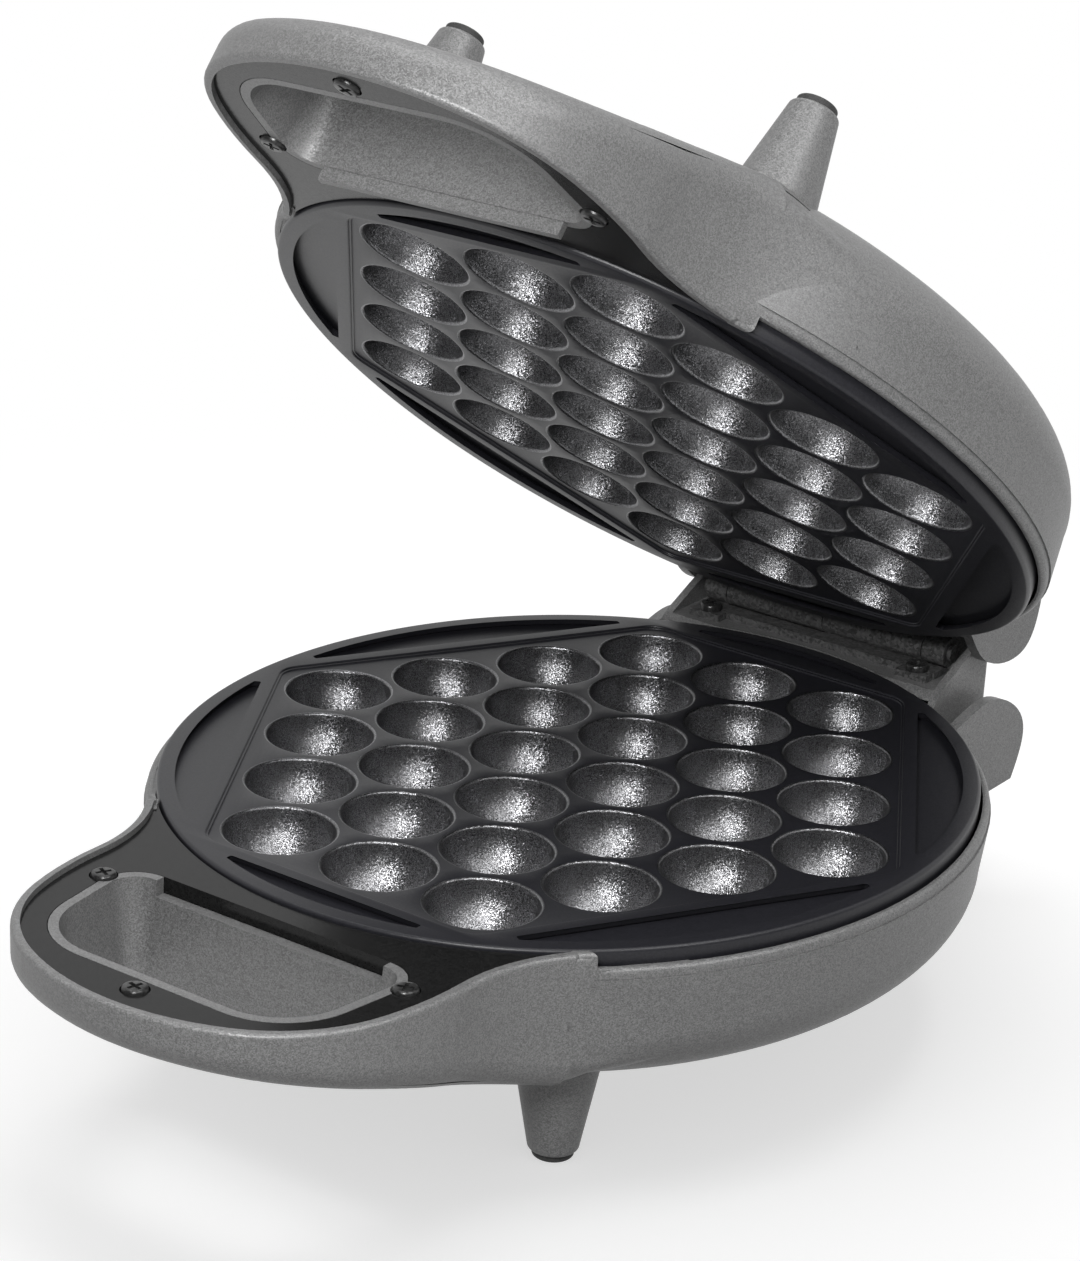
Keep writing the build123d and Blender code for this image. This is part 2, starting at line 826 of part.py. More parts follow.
def lamp_lens(x):
    """Lamp lens that stands through the lid, held by a collar inside."""
    inside = body_depth - shell_wall
    with BuildPart() as lens:
        with BuildSketch(Plane.XY.offset(inside - lamp_collar)):
            with Locations((x, lamp_y)):
                Circle(lamp_radius + 1.5)
        extrude(amount=lamp_collar)
        with BuildSketch(Plane.XY.offset(inside)):
            with Locations((x, lamp_y)):
                Circle(lamp_radius)
        extrude(amount=shell_wall + lamp_rise)
        fillet(lens.edges().group_by(Axis.Z)[-1], radius=lamp_rise * 0.9)
    return lens


def lamp_holder():
    """Bracket behind the two lenses with a socket for each lamp."""
    top = body_depth - shell_wall - lamp_collar
    with BuildPart() as holder:
        with BuildSketch(Plane.XY.offset(top)):
            with Locations((0, lamp_y)):
                SlotOverall(4 * lamp_x, 4 * lamp_radius)
        extrude(amount=-1.6)
        with BuildSketch(Plane.XY.offset(top - 1.6)):
            with Locations((-lamp_x, lamp_y), (lamp_x, lamp_y)):
                Circle(lamp_radius + 1)
        extrude(amount=-5)
        with BuildSketch(Plane.XY.offset(top)):
            with Locations((-lamp_x, lamp_y), (lamp_x, lamp_y)):
                Circle(lamp_radius - 0.5)
        extrude(amount=-5, mode=Mode.SUBTRACT)
    return holder


def shared_pieces():
    """Pieces that are alike in both halves, each by its name without the half's."""
    web = body_depth - shell_wall
    corners = four_corners(leg_x, leg_y)
    return {
        "cooking_plate": cooking_plate(),
        "heating_element": heating_element(),
        "element_clamps": element_clamps(),
        "clamp_screws": screws(clamp_places(), clamp_seat, clamp_screw_length, -1),
        "heat_shield": heat_shield(),
        "thermostat": thermostat(),
        "trim_screws": screws(trim_screw_places(), trim_seat, trim_screw_length, 1),
        "plate_screws": screws(corners, web, web - lug_end + 6, -1),
    }


pieces = shared_pieces()
for side, frame, lid in (("lower", base_frame, False), ("upper", lid_frame, True)):
    keep(housing(lid), f"{side}_housing", frame)
    keep(handle_trim(lid), f"{side}_handle_trim", frame)
    for name, piece in pieces.items():
        keep(piece, f"{side}_{name}", frame)
    for end, y in (("front", -leg_y), ("rear", leg_y)):
        for hand, x in (("left", -leg_x), ("right", leg_x)):
            across = x if lid else -x
            keep(foot_pad(across, y), f"{side}_foot_pad_{end}_{hand}", frame)
    keep(hinge_leaf(lid), f"{side}_hinge_leaf", frame)
    fixing = screws(leaf_screw_places(), leaf_flat_z(lid), leaf_screw_length, 1)
    keep(fixing, f"{side}_hinge_screws", frame)

keep(hinge_pin(), "hinge_pin")
keep(cord_gland(), "cord_gland")
keep(terminal_block(), "terminal_block")
keep(thermal_fuse(), "thermal_fuse")
keep(lamp_lens(-lamp_x), "power_lamp", lid_frame)
keep(lamp_lens(lamp_x), "ready_lamp", lid_frame)
keep(lamp_holder(), "lamp_holder", lid_frame)
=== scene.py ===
# %% [markdown]
# # A bubble waffle maker, half open
#
# The maker has two halves on one hinge. Each half is a moulded shell with a loop
# handle, a black cover on the handle, four legs and a cast plate of round cups.
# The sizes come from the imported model, so every piece made here sits on a
# measured one. We start by loading that model and keeping its overall box.

# %% Load the measured model
import json
import math
import bpy
import bmesh
from mathutils import Matrix, Vector
from mathutils.bvhtree import BVHTree


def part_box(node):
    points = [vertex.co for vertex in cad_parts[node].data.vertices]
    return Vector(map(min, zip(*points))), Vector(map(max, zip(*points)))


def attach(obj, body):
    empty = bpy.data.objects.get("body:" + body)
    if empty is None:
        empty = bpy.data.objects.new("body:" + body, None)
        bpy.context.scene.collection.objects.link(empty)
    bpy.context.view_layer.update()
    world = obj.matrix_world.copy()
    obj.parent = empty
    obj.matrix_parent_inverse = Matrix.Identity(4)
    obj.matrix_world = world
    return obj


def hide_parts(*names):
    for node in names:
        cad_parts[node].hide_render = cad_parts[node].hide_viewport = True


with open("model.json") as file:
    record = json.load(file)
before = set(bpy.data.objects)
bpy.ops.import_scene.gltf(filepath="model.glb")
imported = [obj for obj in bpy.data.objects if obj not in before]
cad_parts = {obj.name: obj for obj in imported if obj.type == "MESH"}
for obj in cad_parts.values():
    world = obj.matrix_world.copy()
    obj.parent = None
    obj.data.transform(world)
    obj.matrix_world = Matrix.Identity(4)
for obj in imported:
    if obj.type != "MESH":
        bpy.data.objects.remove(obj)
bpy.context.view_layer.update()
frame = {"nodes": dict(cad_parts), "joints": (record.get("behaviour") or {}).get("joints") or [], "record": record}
nodes = frame["nodes"]
MM = 0.001

# %% [markdown]
# ## Where the two halves lie
#
# Both halves are drawn flat, in one frame of their own: x along the hinge, y from
# the handle to the hinge, and z as the depth below the plane where the halves
# meet. Two matrices then put a finished mesh into the lower half or the lid. The
# lid's matrix is a turn about the hinge by the angle that the joint still has to
# close, so a mesh made once fits both.

# %% Frames of the lower half and the lid
PLATE_GAP = 0.6 * MM

plate_low, plate_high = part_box("lower_cooking_plate")
plate_y = (plate_low.y + plate_high.y) / 2
parting = plate_high.z + PLATE_GAP
plate_half_x = (plate_high.x - plate_low.x) / 2
plate_half_y = (plate_high.y - plate_low.y) / 2
hinge_joint = frame["joints"][0]
hinge = Vector(hinge_joint["pos_m"])
opening = math.radians(-hinge_joint["range_deg"][0])
lower_half = Matrix.Translation((0, plate_y, parting)) @ Matrix.Rotation(math.pi, 4, "Y")
shut_lid = Matrix.Translation((0, plate_y, parting))
turn = Matrix.Rotation(-opening, 4, "X")
lid_half = Matrix.Translation(hinge) @ turn @ Matrix.Translation(-hinge) @ shut_lid
halves = {"lower": (lower_half, "base"), "upper": (lid_half, "lid")}
print("plate centre y", round(plate_y, 5), "parting height", round(parting, 5))
print("open by", round(math.degrees(opening), 1), "degrees")

# %% [markdown]
# ## The camera
#
# A long lens stands in front and to the right, a little above the plate. Its
# place is given by two angles, a small roll and a distance, and its target is the
# middle of the lower plate. The shift keeps the picture's middle where it was.
# A lens could also be moved by hand until the view looks right, but angles and a
# distance can be measured and put right one at a time.

# %% Camera
AZIMUTH = math.radians(34.83)
ELEVATION = math.radians(23.11)
ROLL = math.radians(3.04)
PICTURE = (1080, 1261)
FOCAL = 3598.0
MIDDLE = (535.0, 758.9)
STAND_OFF = Vector((9.621, 0.680, 894.79)) * MM
SENSOR = 36.0

back = Vector((math.sin(AZIMUTH) * math.cos(ELEVATION),
               -math.cos(AZIMUTH) * math.cos(ELEVATION), math.sin(ELEVATION)))
level = Vector((math.cos(AZIMUTH), math.sin(AZIMUTH), 0))
above = back.cross(level)
right = level * math.cos(ROLL) + above * math.sin(ROLL)
up = above * math.cos(ROLL) - level * math.sin(ROLL)
eye = back * STAND_OFF.z - right * STAND_OFF.x + up * STAND_OFF.y
eye += Vector((0, plate_y, parting))

camera = bpy.data.objects.new("camera", bpy.data.cameras.new("camera"))
bpy.context.scene.collection.objects.link(camera)
camera.matrix_world = (Matrix.Translation(eye)
                       @ Matrix((right, up, back)).transposed().to_4x4())
camera.data.sensor_width = SENSOR
camera.data.lens = FOCAL / max(PICTURE) * SENSOR
camera.data.shift_x = (PICTURE[0] / 2 - MIDDLE[0]) / max(PICTURE)
camera.data.shift_y = (MIDDLE[1] - PICTURE[1] / 2) / max(PICTURE)
camera.data.clip_start = 0.01
camera.data.clip_end = 50.0
bpy.context.scene.camera = camera
bpy.context.scene.view_settings.view_transform = "Standard"
print("lens", round(camera.data.lens, 2), "mm at", [round(v, 3) for v in eye])

# %% [markdown]
# ## Small helpers for pieces
#
# Every finished piece keeps its object at the origin, unturned and unscaled, with
# its place in its vertices. These helpers link an object, shade it smooth, turn a
# bmesh into a mesh, give a piece its material and let it ride on its body. The
# rings helper lays bands of faces between outlines, which the rim, the blends and
# the screws all need.

# %% Helpers for pieces
MERGE = 0.004 * MM


def linked(name, data):
    """New object for a mesh or a curve, in the scene."""
    piece = bpy.data.objects.new(name, data)
    bpy.context.scene.collection.objects.link(piece)
    return piece


def smooth(mesh, degrees=40):
    """Smooth shading that keeps the edges sharper than an angle."""
    mesh.polygons.foreach_set("use_smooth", [True] * len(mesh.polygons))
    mesh.set_sharp_from_angle(angle=math.radians(degrees))


def bridge(shape, rings):
    """Bands of faces between closed rings of vertices, one after another."""
    count = len(rings[0])
    for first, second in zip(rings, rings[1:]):
        for i in range(count):
            j = (i + 1) % count
            shape.faces.new((first[i], first[j], second[j], second[i]))


def to_mesh(shape, name):
    """Plain mesh from a bmesh, merged and with its faces outward."""
    bmesh.ops.remove_doubles(shape, verts=shape.verts, dist=MERGE)
    bmesh.ops.recalc_face_normals(shape, faces=shape.faces)
    mesh = bpy.data.meshes.new(name)
    shape.to_mesh(mesh)
    shape.free()
    return mesh


def use(piece, material):
    """Give a piece one material in its only slot."""
    piece.data.materials.clear()
    piece.data.materials.append(material)


def fit(piece, body, slot, *replaced):
    """Let a finished piece ride on its body and stand for its CAD nodes."""
    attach(piece, body)
    if replaced:
        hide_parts(*replaced)


print("helpers for pieces are ready")

# %% [markdown]
# ## Small helpers for node trees
#
# The floor, the world, the finishes and the repeated pieces are all node trees. A
# tree is easiest to read when each node takes one line, so the first helper hands
# back two short functions, one that adds a node with its settings and one that
# joins two sockets. The second sets unlinked inputs by name.

# %% Helpers for node trees
def builder(tree):
    """Functions that add a node to a tree and join two of its sockets."""
    def add(kind, **settings):
        node = tree.nodes.new(kind)
        for name, value in settings.items():
            setattr(node, name, value)
        return node
    return add, tree.links.new


def set_inputs(node, **values):
    """Set a node's inputs by name, with _ for each space in the name."""
    for name, value in values.items():
        node.inputs[name.replace("_", " ")].default_value = value


def grey(value):
    """Neutral colour."""
    return (value, value, value)


def rays_seen(tree):
    """1 for rays from the camera, a gloss or a clear piece, and 0 for the rest."""
    add, join = builder(tree)
    path = add("ShaderNodeLightPath")
    seen = path.outputs["Is Camera Ray"]
    for other in ("Is Glossy Ray", "Is Transmission Ray"):
        either = add("ShaderNodeMath", operation="MAXIMUM")
        join(seen, either.inputs[0])
        join(path.outputs[other], either.inputs[1])
        seen = either.outputs[0]
    return seen


print("helpers for node trees are ready")

# %% [markdown]
# ## The floor
#
# The maker stands on a white sweep. Near it the floor is matt and takes the
# shadow, with a glow that only seen rays meet, so it looks white without lighting
# the maker from below. Farther out it melts into plain white and no horizon
# shows. A curved backdrop would do the same, but it would catch the lamps.

# %% Floor
FLOOR_HALF = 4.0
FLOOR_MATT = 0.60
FLOOR_GLOW = 0.60
SHADOW_REACH = (0.20, 0.50)

corners = [(x * FLOOR_HALF, y * FLOOR_HALF, 0) for x, y in ((-1, -1), (1, -1), (1, 1), (-1, 1))]
floor_mesh = bpy.data.meshes.new("floor")
floor_mesh.from_pydata(corners, [], [(0, 1, 2, 3)])
floor = linked("floor", floor_mesh)

white_floor = bpy.data.materials.new("white_floor")
white_floor.use_nodes = True
tree = white_floor.node_tree
tree.nodes.clear()
add, join = builder(tree)
output = add("ShaderNodeOutputMaterial")
matt = add("ShaderNodeBsdfDiffuse")
set_inputs(matt, Color=(*grey(FLOOR_MATT), 1))
half_glow = add("ShaderNodeEmission")
set_inputs(half_glow, Color=(*grey(FLOOR_GLOW), 1))
near = add("ShaderNodeAddShader")
far = add("ShaderNodeEmission")
place = add("ShaderNodeTexCoord")
reach = add("ShaderNodeVectorMath", operation="LENGTH")
fade = add("ShaderNodeMapRange", interpolation_type="SMOOTHERSTEP")
set_inputs(fade, From_Min=SHADOW_REACH[0], From_Max=SHADOW_REACH[1])
mix = add("ShaderNodeMixShader")
join(rays_seen(tree), half_glow.inputs["Strength"])
join(place.outputs["Object"], reach.inputs[0])
join(reach.outputs["Value"], fade.inputs["Value"])
join(fade.outputs["Result"], mix.inputs["Fac"])
join(matt.outputs[0], near.inputs[0])
join(half_glow.outputs[0], near.inputs[1])
join(near.outputs[0], mix.inputs[1])
join(far.outputs[0], mix.inputs[2])
join(mix.outputs[0], output.inputs["Surface"])
use(floor, white_floor)
print("floor:", 2 * FLOOR_HALF, "m wide, shadow kept within", SHADOW_REACH[0], "m")

# %% [markdown]
# ## The room
#
# The world does three jobs. The camera sees plain white. A glossy piece sees that
# white only where it faces the backdrop, and a dim room elsewhere, because a room
# that is white all round would turn black plastic grey. Matt surfaces get a low,
# even fill, so the shadows stay soft and the lamps below do the modelling.

# %% Room
ROOM_FILL = 0.35
ROOM_SHEEN = 0.06
BACKDROP_EDGE = (-0.2, 0.3)

world = bpy.data.worlds.new("studio")
bpy.context.scene.world = world
world.use_nodes = True
tree = world.node_tree
tree.nodes.clear()
add, join = builder(tree)
output = add("ShaderNodeOutputWorld")
place = add("ShaderNodeTexCoord")
facing = add("ShaderNodeVectorMath", operation="DOT_PRODUCT")
facing.inputs[1].default_value = (-back.x, -back.y, 0)
edge = add("ShaderNodeMapRange", interpolation_type="SMOOTHSTEP")
set_inputs(edge, From_Min=BACKDROP_EDGE[0], From_Max=BACKDROP_EDGE[1], To_Min=ROOM_SHEEN)
path = add("ShaderNodeLightPath")
white = add("ShaderNodeMath", operation="MAXIMUM")
seen = add("ShaderNodeBackground")
set_inputs(seen, Color=(*grey(1), 1))
fill = add("ShaderNodeBackground")
set_inputs(fill, Color=(*grey(ROOM_FILL), 1))
mix = add("ShaderNodeMixShader")
join(place.outputs["Generated"], facing.inputs[0])
join(facing.outputs["Value"], edge.inputs["Value"])
join(edge.outputs["Result"], white.inputs[0])
join(path.outputs["Is Camera Ray"], white.inputs[1])
join(white.outputs[0], seen.inputs["Strength"])
join(rays_seen(tree), mix.inputs["Fac"])
join(fill.outputs[0], mix.inputs[1])
join(seen.outputs[0], mix.inputs[2])
join(mix.outputs[0], output.inputs["Surface"])
print("room: fill", ROOM_FILL, "sheen", ROOM_SHEEN)

# %% [markdown]
# ## The lamps
#
# Three soft boxes light the maker. A large one overhead lights the floor and
# draws the shadow under the maker. A large one at the side models the shells. A
# small one in front, on the right, is the key: a cup is a hollow mirror that
# shows the lamp as one spot, so its place decides where each cup shines. Key and
# side box leave out the floor by light linking, or it would show their shadows.

# %% Soft boxes
LAMP_DISTANCE = 1.6
MAKER_MIDDLE = (0, 0, 0.06)
KEY_PLACE = (0.196, -0.450, 0.425)
KEY_AIM = (0, 0, 0.09)


def around(azimuth, elevation):
    """Place on a ball round the maker, from two angles in degrees."""
    a, e = math.radians(azimuth), math.radians(elevation)
    return (LAMP_DISTANCE * math.sin(a) * math.cos(e),
            -LAMP_DISTANCE * math.cos(a) * math.cos(e), LAMP_DISTANCE * math.sin(e))


def soft_box(name, place, target, width, power):
    """Square lamp that points from its place to a target."""
    lamp = bpy.data.lights.new(name, "AREA")
    lamp.shape = "RECTANGLE"
    lamp.size = lamp.size_y = width
    lamp.energy = power
    holder = linked(name, lamp)
    aim = Vector(target) - Vector(place)
    holder.rotation_euler = aim.to_track_quat("-Z", "Y").to_euler()
    holder.location = place
    return holder


all_but_floor = bpy.data.collections.new("all_but_floor")
all_but_floor.objects.link(floor)
all_but_floor.collection_objects[0].light_linking.link_state = "EXCLUDE"
soft_box("overhead", around(-150, 80), MAKER_MIDDLE, width=1.2, power=13)
key = soft_box("key", KEY_PLACE, KEY_AIM, width=0.15, power=3.6)
side = soft_box("side", around(85, 55), MAKER_MIDDLE, width=0.7, power=13)
for lamp in (key, side):
    lamp.light_linking.receiver_collection = all_but_floor
    print(lamp.name, [round(v, 2) for v in lamp.location], "leaves out the floor")

# %% [markdown]
# ## Speckle
#
# Sprayed paint and non-stick coating are full of flakes, each with a brightness
# and a slight tilt of its own, so single flakes catch the light. Noise would give
# soft clouds, so Voronoi cells stand for the flakes: each cell's random colour
# picks its brightness and leans its normal. The effect is one group with named
# inputs, built once and placed in every material that needs it.

# %% Speckle group
def new_group(name, inputs, outputs):
    """Empty shader group with its sockets, and its end nodes."""
    group = bpy.data.node_groups.new(name, "ShaderNodeTree")
    for label, kind, value in inputs:
        socket = group.interface.new_socket(label, in_out="INPUT", socket_type=kind)
        socket.default_value = value
    for label, kind in outputs:
        group.interface.new_socket(label, in_out="OUTPUT", socket_type=kind)
    return group, group.nodes.new("NodeGroupInput"), group.nodes.new("NodeGroupOutput")


def speckle_group():
    """Flakes in a coat: a colour and a normal that differ from flake to flake."""
    group, start, end = new_group(
        "speckle",
        [("Colour", "NodeSocketColor", (*grey(0.2), 1)),
         ("Flake Colour", "NodeSocketColor", (*grey(0.6), 1)),
         ("Flakes per Metre", "NodeSocketFloat", 4000.0), ("Tilt", "NodeSocketFloat", 0.2)],
        [("Colour", "NodeSocketColor"), ("Normal", "NodeSocketVector")])
    add, join = builder(group)
    place = add("ShaderNodeTexCoord")
    cells = add("ShaderNodeTexVoronoi")
    chance = add("ShaderNodeSeparateColor")
    blend = add("ShaderNodeMix", data_type="RGBA")
    centred = add("ShaderNodeVectorMath", operation="SUBTRACT")
    centred.inputs[1].default_value = grey(0.5)
    lean = add("ShaderNodeVectorMath", operation="SCALE")
    surface = add("ShaderNodeNewGeometry")
    tilted = add("ShaderNodeVectorMath")
    unit = add("ShaderNodeVectorMath", operation="NORMALIZE")
    join(place.outputs["Object"], cells.inputs["Vector"])
    join(start.outputs["Flakes per Metre"], cells.inputs["Scale"])
    join(cells.outputs["Color"], chance.inputs["Color"])
    join(chance.outputs["Red"], blend.inputs["Factor"])
    join(start.outputs["Colour"], blend.inputs["A"])
    join(start.outputs["Flake Colour"], blend.inputs["B"])
    join(cells.outputs["Color"], centred.inputs[0])
    join(centred.outputs[0], lean.inputs[0])
    join(start.outputs["Tilt"], lean.inputs["Scale"])
    join(surface.outputs["Normal"], tilted.inputs[0])
    join(lean.outputs[0], tilted.inputs[1])
    join(tilted.outputs[0], unit.inputs[0])
    join(blend.outputs["Result"], end.inputs["Colour"])
    join(unit.outputs[0], end.inputs["Normal"])
    return group


speckle = speckle_group()
print("speckle:", len(speckle.nodes), "nodes")

# %% [markdown]
# ## Grain
#
# Moulded rubber and tumbled steel are uneven on a fine scale. Here soft clouds
# are just right, so plain noise gives a height, and the material turns it into a
# bump. The group puts out only the height, so each material sets its own depth.

# %% Grain group
def grain_group():
    """Uneven height of a moulded or tumbled surface."""
    group, start, end = new_group("grain", [("Grains per Metre", "NodeSocketFloat", 900.0)],
                                  [("Height", "NodeSocketFloat")])
    add, join = builder(group)
    place = add("ShaderNodeTexCoord")
    rough = add("ShaderNodeTexNoise")
    set_inputs(rough, Detail=2.0)
    join(place.outputs["Object"], rough.inputs["Vector"])
    join(start.outputs["Grains per Metre"], rough.inputs["Scale"])
    join(rough.outputs["Fac"], end.inputs["Height"])
    return group


grain = grain_group()
print("grain:", len(grain.nodes), "nodes")

# %% [markdown]
# ## One helper for all finishes
#
# Every finish on the maker is a coat with flakes, and some have grain below it,
# so one helper makes them all. What varies over the surface comes from the two
# groups, and what is the same everywhere is set on the shader itself, which keeps
# it when the model is exported.

# %% Finish helper
GRAIN_DEPTH = 0.05 * MM


def finish_of(name, colour, flake, flakes, tilt, grains=900, bump=0.0, **constants):
    """Material with the speckle, and the grain where it has a bump."""
    material = bpy.data.materials.new(name)
    material.use_nodes = True
    add, join = builder(material.node_tree)
    shader = material.node_tree.nodes["Principled BSDF"]
    coat = add("ShaderNodeGroup", node_tree=speckle)
    set_inputs(coat, Colour=(*colour, 1), Flake_Colour=(*flake, 1),
               Flakes_per_Metre=flakes, Tilt=tilt)
    join(coat.outputs["Colour"], shader.inputs["Base Color"])
    join(coat.outputs["Normal"], shader.inputs["Normal"])
    if bump:
        uneven = add("ShaderNodeGroup", node_tree=grain)
        set_inputs(uneven, Grains_per_Metre=grains)
        relief = add("ShaderNodeBump")
        set_inputs(relief, Strength=bump, Distance=GRAIN_DEPTH)
        join(uneven.outputs["Height"], relief.inputs["Height"])
        join(coat.outputs["Normal"], relief.inputs["Normal"])
        join(relief.outputs["Normal"], shader.inputs["Normal"])
    set_inputs(shader, **constants)
    return material


print("finish helper is ready")

# %% [markdown]
# ## Finishes that show from a step away
#
# The shells have a grey metallic paint with a soft sheen. The handle covers are
# smooth black plastic. The plates have two finishes: their flats are a smooth
# satin black, and their bowls, where the sprayed coat is rough and full of
# flakes, shine like dark metal. One finish for both would leave the flats too
# bright or the bowls too dull.

# %% Paint, plastic and plate coatings
paint = finish_of("grey_paint", grey(0.085), grey(0.165), flakes=3600, tilt=0.20,
                  Metallic=0.3, Roughness=0.45, Specular_IOR_Level=0.4)
gloss = finish_of("black_plastic", grey(0.005), grey(0.010), flakes=2000, tilt=0.02,
                  Roughness=0.18, Specular_IOR_Level=0.14)
coating = finish_of("non_stick", (0.008, 0.008, 0.010), (0.013, 0.013, 0.016), flakes=3000,
                    tilt=0.04, Roughness=0.40, Specular_IOR_Level=0.32)
bowl_coating = finish_of("non_stick_bowls", grey(0.04), (0.28, 0.28, 0.29), flakes=5500,
                         tilt=0.42, Metallic=1.0, Roughness=0.36)
print("finishes:", [m.name for m in (paint, gloss, coating, bowl_coating)])

# %% [markdown]
# ## Finishes of the small and the inner pieces
#
# The hinge leaves and the heating tube are steel gone dark, the heat shields are
# bright sheet steel, and the screws are blackened. Pads and cord gland are
# rubber, the thermostats phenolic plastic, the terminal block and the fuse sleeve
# pale and heat-proof. Two clear lenses cover the lamps in the lid.

# %% Steel, rubber and the inner pieces
dark_steel = finish_of("dark_steel", grey(0.06), grey(0.16), flakes=1500, tilt=0.1,
                       grains=700, bump=0.9, Metallic=0.6, Roughness=0.40)
black_steel = finish_of("black_steel", grey(0.012), grey(0.03), flakes=2000, tilt=0.05,
                        Metallic=0.4, Roughness=0.3)
bright_steel = finish_of("bright_steel", grey(0.5), grey(0.65), flakes=1200, tilt=0.05,
                         grains=400, bump=0.1, Metallic=1.0, Roughness=0.3)
rubber = finish_of("rubber", grey(0.012), grey(0.024), flakes=2500, tilt=0.1, bump=0.3,
                   Roughness=0.7)
phenolic = finish_of("phenolic", (0.02, 0.018, 0.016), (0.045, 0.04, 0.035), flakes=1500,
                     tilt=0.05, Roughness=0.5)
pale_plastic = finish_of("pale_plastic", (0.68, 0.66, 0.58), (0.75, 0.73, 0.65), flakes=1000,
                         tilt=0.03, Roughness=0.45)
red_lens = finish_of("red_lens", (0.5, 0.02, 0.015), (0.6, 0.05, 0.03), flakes=600,
                     tilt=0.01, Roughness=0.12, Coat_Weight=0.6)
green_lens = finish_of("green_lens", (0.02, 0.35, 0.06), (0.05, 0.45, 0.08), flakes=600,
                       tilt=0.01, Roughness=0.12, Coat_Weight=0.6)
print("finishes in all:", len(bpy.data.materials) - 1)

# %% [markdown]
# ## Finishes on the measured pieces
#
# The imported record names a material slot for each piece. A finish is chosen for
# each slot, not for each piece, so both halves always match.

# %% Dress the measured pieces
finishes = {"housing_paint": paint, "trim_black": gloss, "plate_coating": coating,
            "element_sheath": dark_steel, "steel_sheet": bright_steel,
            "screw_steel": dark_steel, "hinge_steel": dark_steel, "foot_rubber": rubber,
            "gland_rubber": rubber, "switch_plastic": phenolic,
            "block_ceramic": pale_plastic, "fuse_sleeve": pale_plastic,
            "lamp_red": red_lens, "lamp_green": green_lens}
slots = {part["node"]: part["material_slot"] for part in frame["record"]["subparts"]}
for name, node in nodes.items():
    use(node, finishes[slots[name]])
print("slots:", len(finishes), "on", len(nodes), "nodes")

# %% [markdown]
# ## Sizes of a cooking plate
#
# The plate is one casting: an oval with a rim, and inside it a sunk field of
# thirty half-round cups on a triangular grid, with a pocket beside each of the
# field's six sides. Its sizes are the real ones, in millimetres. Depths count
# down from the plane where the halves meet.

# %% Sizes of the plate
PITCH = 30 * MM
MOUTH = 13.5 * MM
LIP = 0.7 * MM
CUP_ROWS = (3, 4, 5, 6, 5, 4, 3)
FIELD_SINK = 1.0 * MM
FIELD_CORNER = 7 * MM
POCKET_SINK = 2.2 * MM
FLANGE = 5.0 * MM
RIM = 4.0 * MM
RIM_ROUND = 1.0 * MM
EDGE = 0.45 * MM
WEB = 2.6 * MM
RIDGE = 3.2 * MM
FIELD_GROW = MOUTH + 3.0 * MM
CUP_BOTTOM = 17.3 * MM
BACK_MOUTH = 14.2 * MM
BACK_LIP = 0.4 * MM

land_z = PLATE_GAP
field_z = PLATE_GAP + FIELD_SINK
pocket_z = PLATE_GAP + POCKET_SINK
web_z = pocket_z + WEB
flange_z = PLATE_GAP + FLANGE
row_step = PITCH * math.sqrt(3) / 2
middle_row = (len(CUP_ROWS) - 1) / 2
cups = [((cup - (count - 1) / 2) * PITCH, (row - middle_row) * row_step)
        for row, count in enumerate(CUP_ROWS) for cup in range(count)]
print("cups:", len(cups))

# %% [markdown]
# ## Outlines of the plate
#
# The rim is an oval and the field a hexagon round the outer cups. Both follow
# from the sizes, so they are formulas and not drawn points. Cast edges are round
# in plan too, so a helper puts an arc in each corner.

# %% Oval, hexagon and round corners
def ellipse(inset, count=288):
    """Points on the plate's oval, drawn in by an inset."""
    step = math.tau / count
    a, b = plate_half_x - inset, plate_half_y - inset
    return [Vector((a * math.cos(i * step), b * math.sin(i * step))) for i in range(count)]


def rounded(points, radius, steps=8):
    """Closed outline with each corner replaced by an arc."""
    result = []
    for i, corner in enumerate(points):
        before = (points[i - 1] - corner).normalized()
        after = (points[(i + 1) % len(points)] - corner).normalized()
        half = before.angle(after) / 2
        centre = corner + (before + after).normalized() * radius / math.sin(half)
        start = corner + before * radius / math.tan(half) - centre
        sweep = math.pi - 2 * half
        side = 1 if before.x * after.y - before.y * after.x < 0 else -1
        for k in range(steps + 1):
            angle = side * sweep * k / steps
            turned = Vector((start.x * math.cos(angle) - start.y * math.sin(angle),
                             start.x * math.sin(angle) + start.y * math.cos(angle)))
            result.append(centre + turned)
    return result


def hexagon(grow):
    """Corners of the cup field's outline, grown past the outer cups' centres."""
    rear = middle_row * row_step
    short = (CUP_ROWS[0] - 1) / 2 * PITCH
    wide = (max(CUP_ROWS) - 1) / 2 * PITCH
    plain = [Vector(p) for p in ((wide, 0), (short, rear), (-short, rear),
                                 (-wide, 0), (-short, -rear), (short, -rear))]
    grown = []
    for i, corner in enumerate(plain):
        before = (corner - plain[i - 1]).normalized()
        after = (plain[(i + 1) % len(plain)] - corner).normalized()
        outward = Vector((before.y + after.y, -before.x - after.x)).normalized()
        half = before.angle(after) / 2
        grown.append(corner + outward * grow / math.cos(half))
    return grown


print("field corners at", [tuple(round(v / MM, 1) for v in p) for p in hexagon(0)])

# %% [markdown]
# ## Outline of a pocket
#
# A pocket fills the space between one side of the field's ridge and the rim. Its
# outer side has to run along the oval, so points on the inner side are sent out
# square to it until they meet the oval, which is one root of a quadratic. The
# tips are cut off where the pocket gets too thin for a casting.

# %% Pockets
TIP_WIDTH = 2.4 * MM
TIP_STOP = 7.5 * MM
TIP_ROUND = 0.9 * MM
TIP_STEPS = 5
POCKET_STEPS = 200
POCKET_THIN = 8


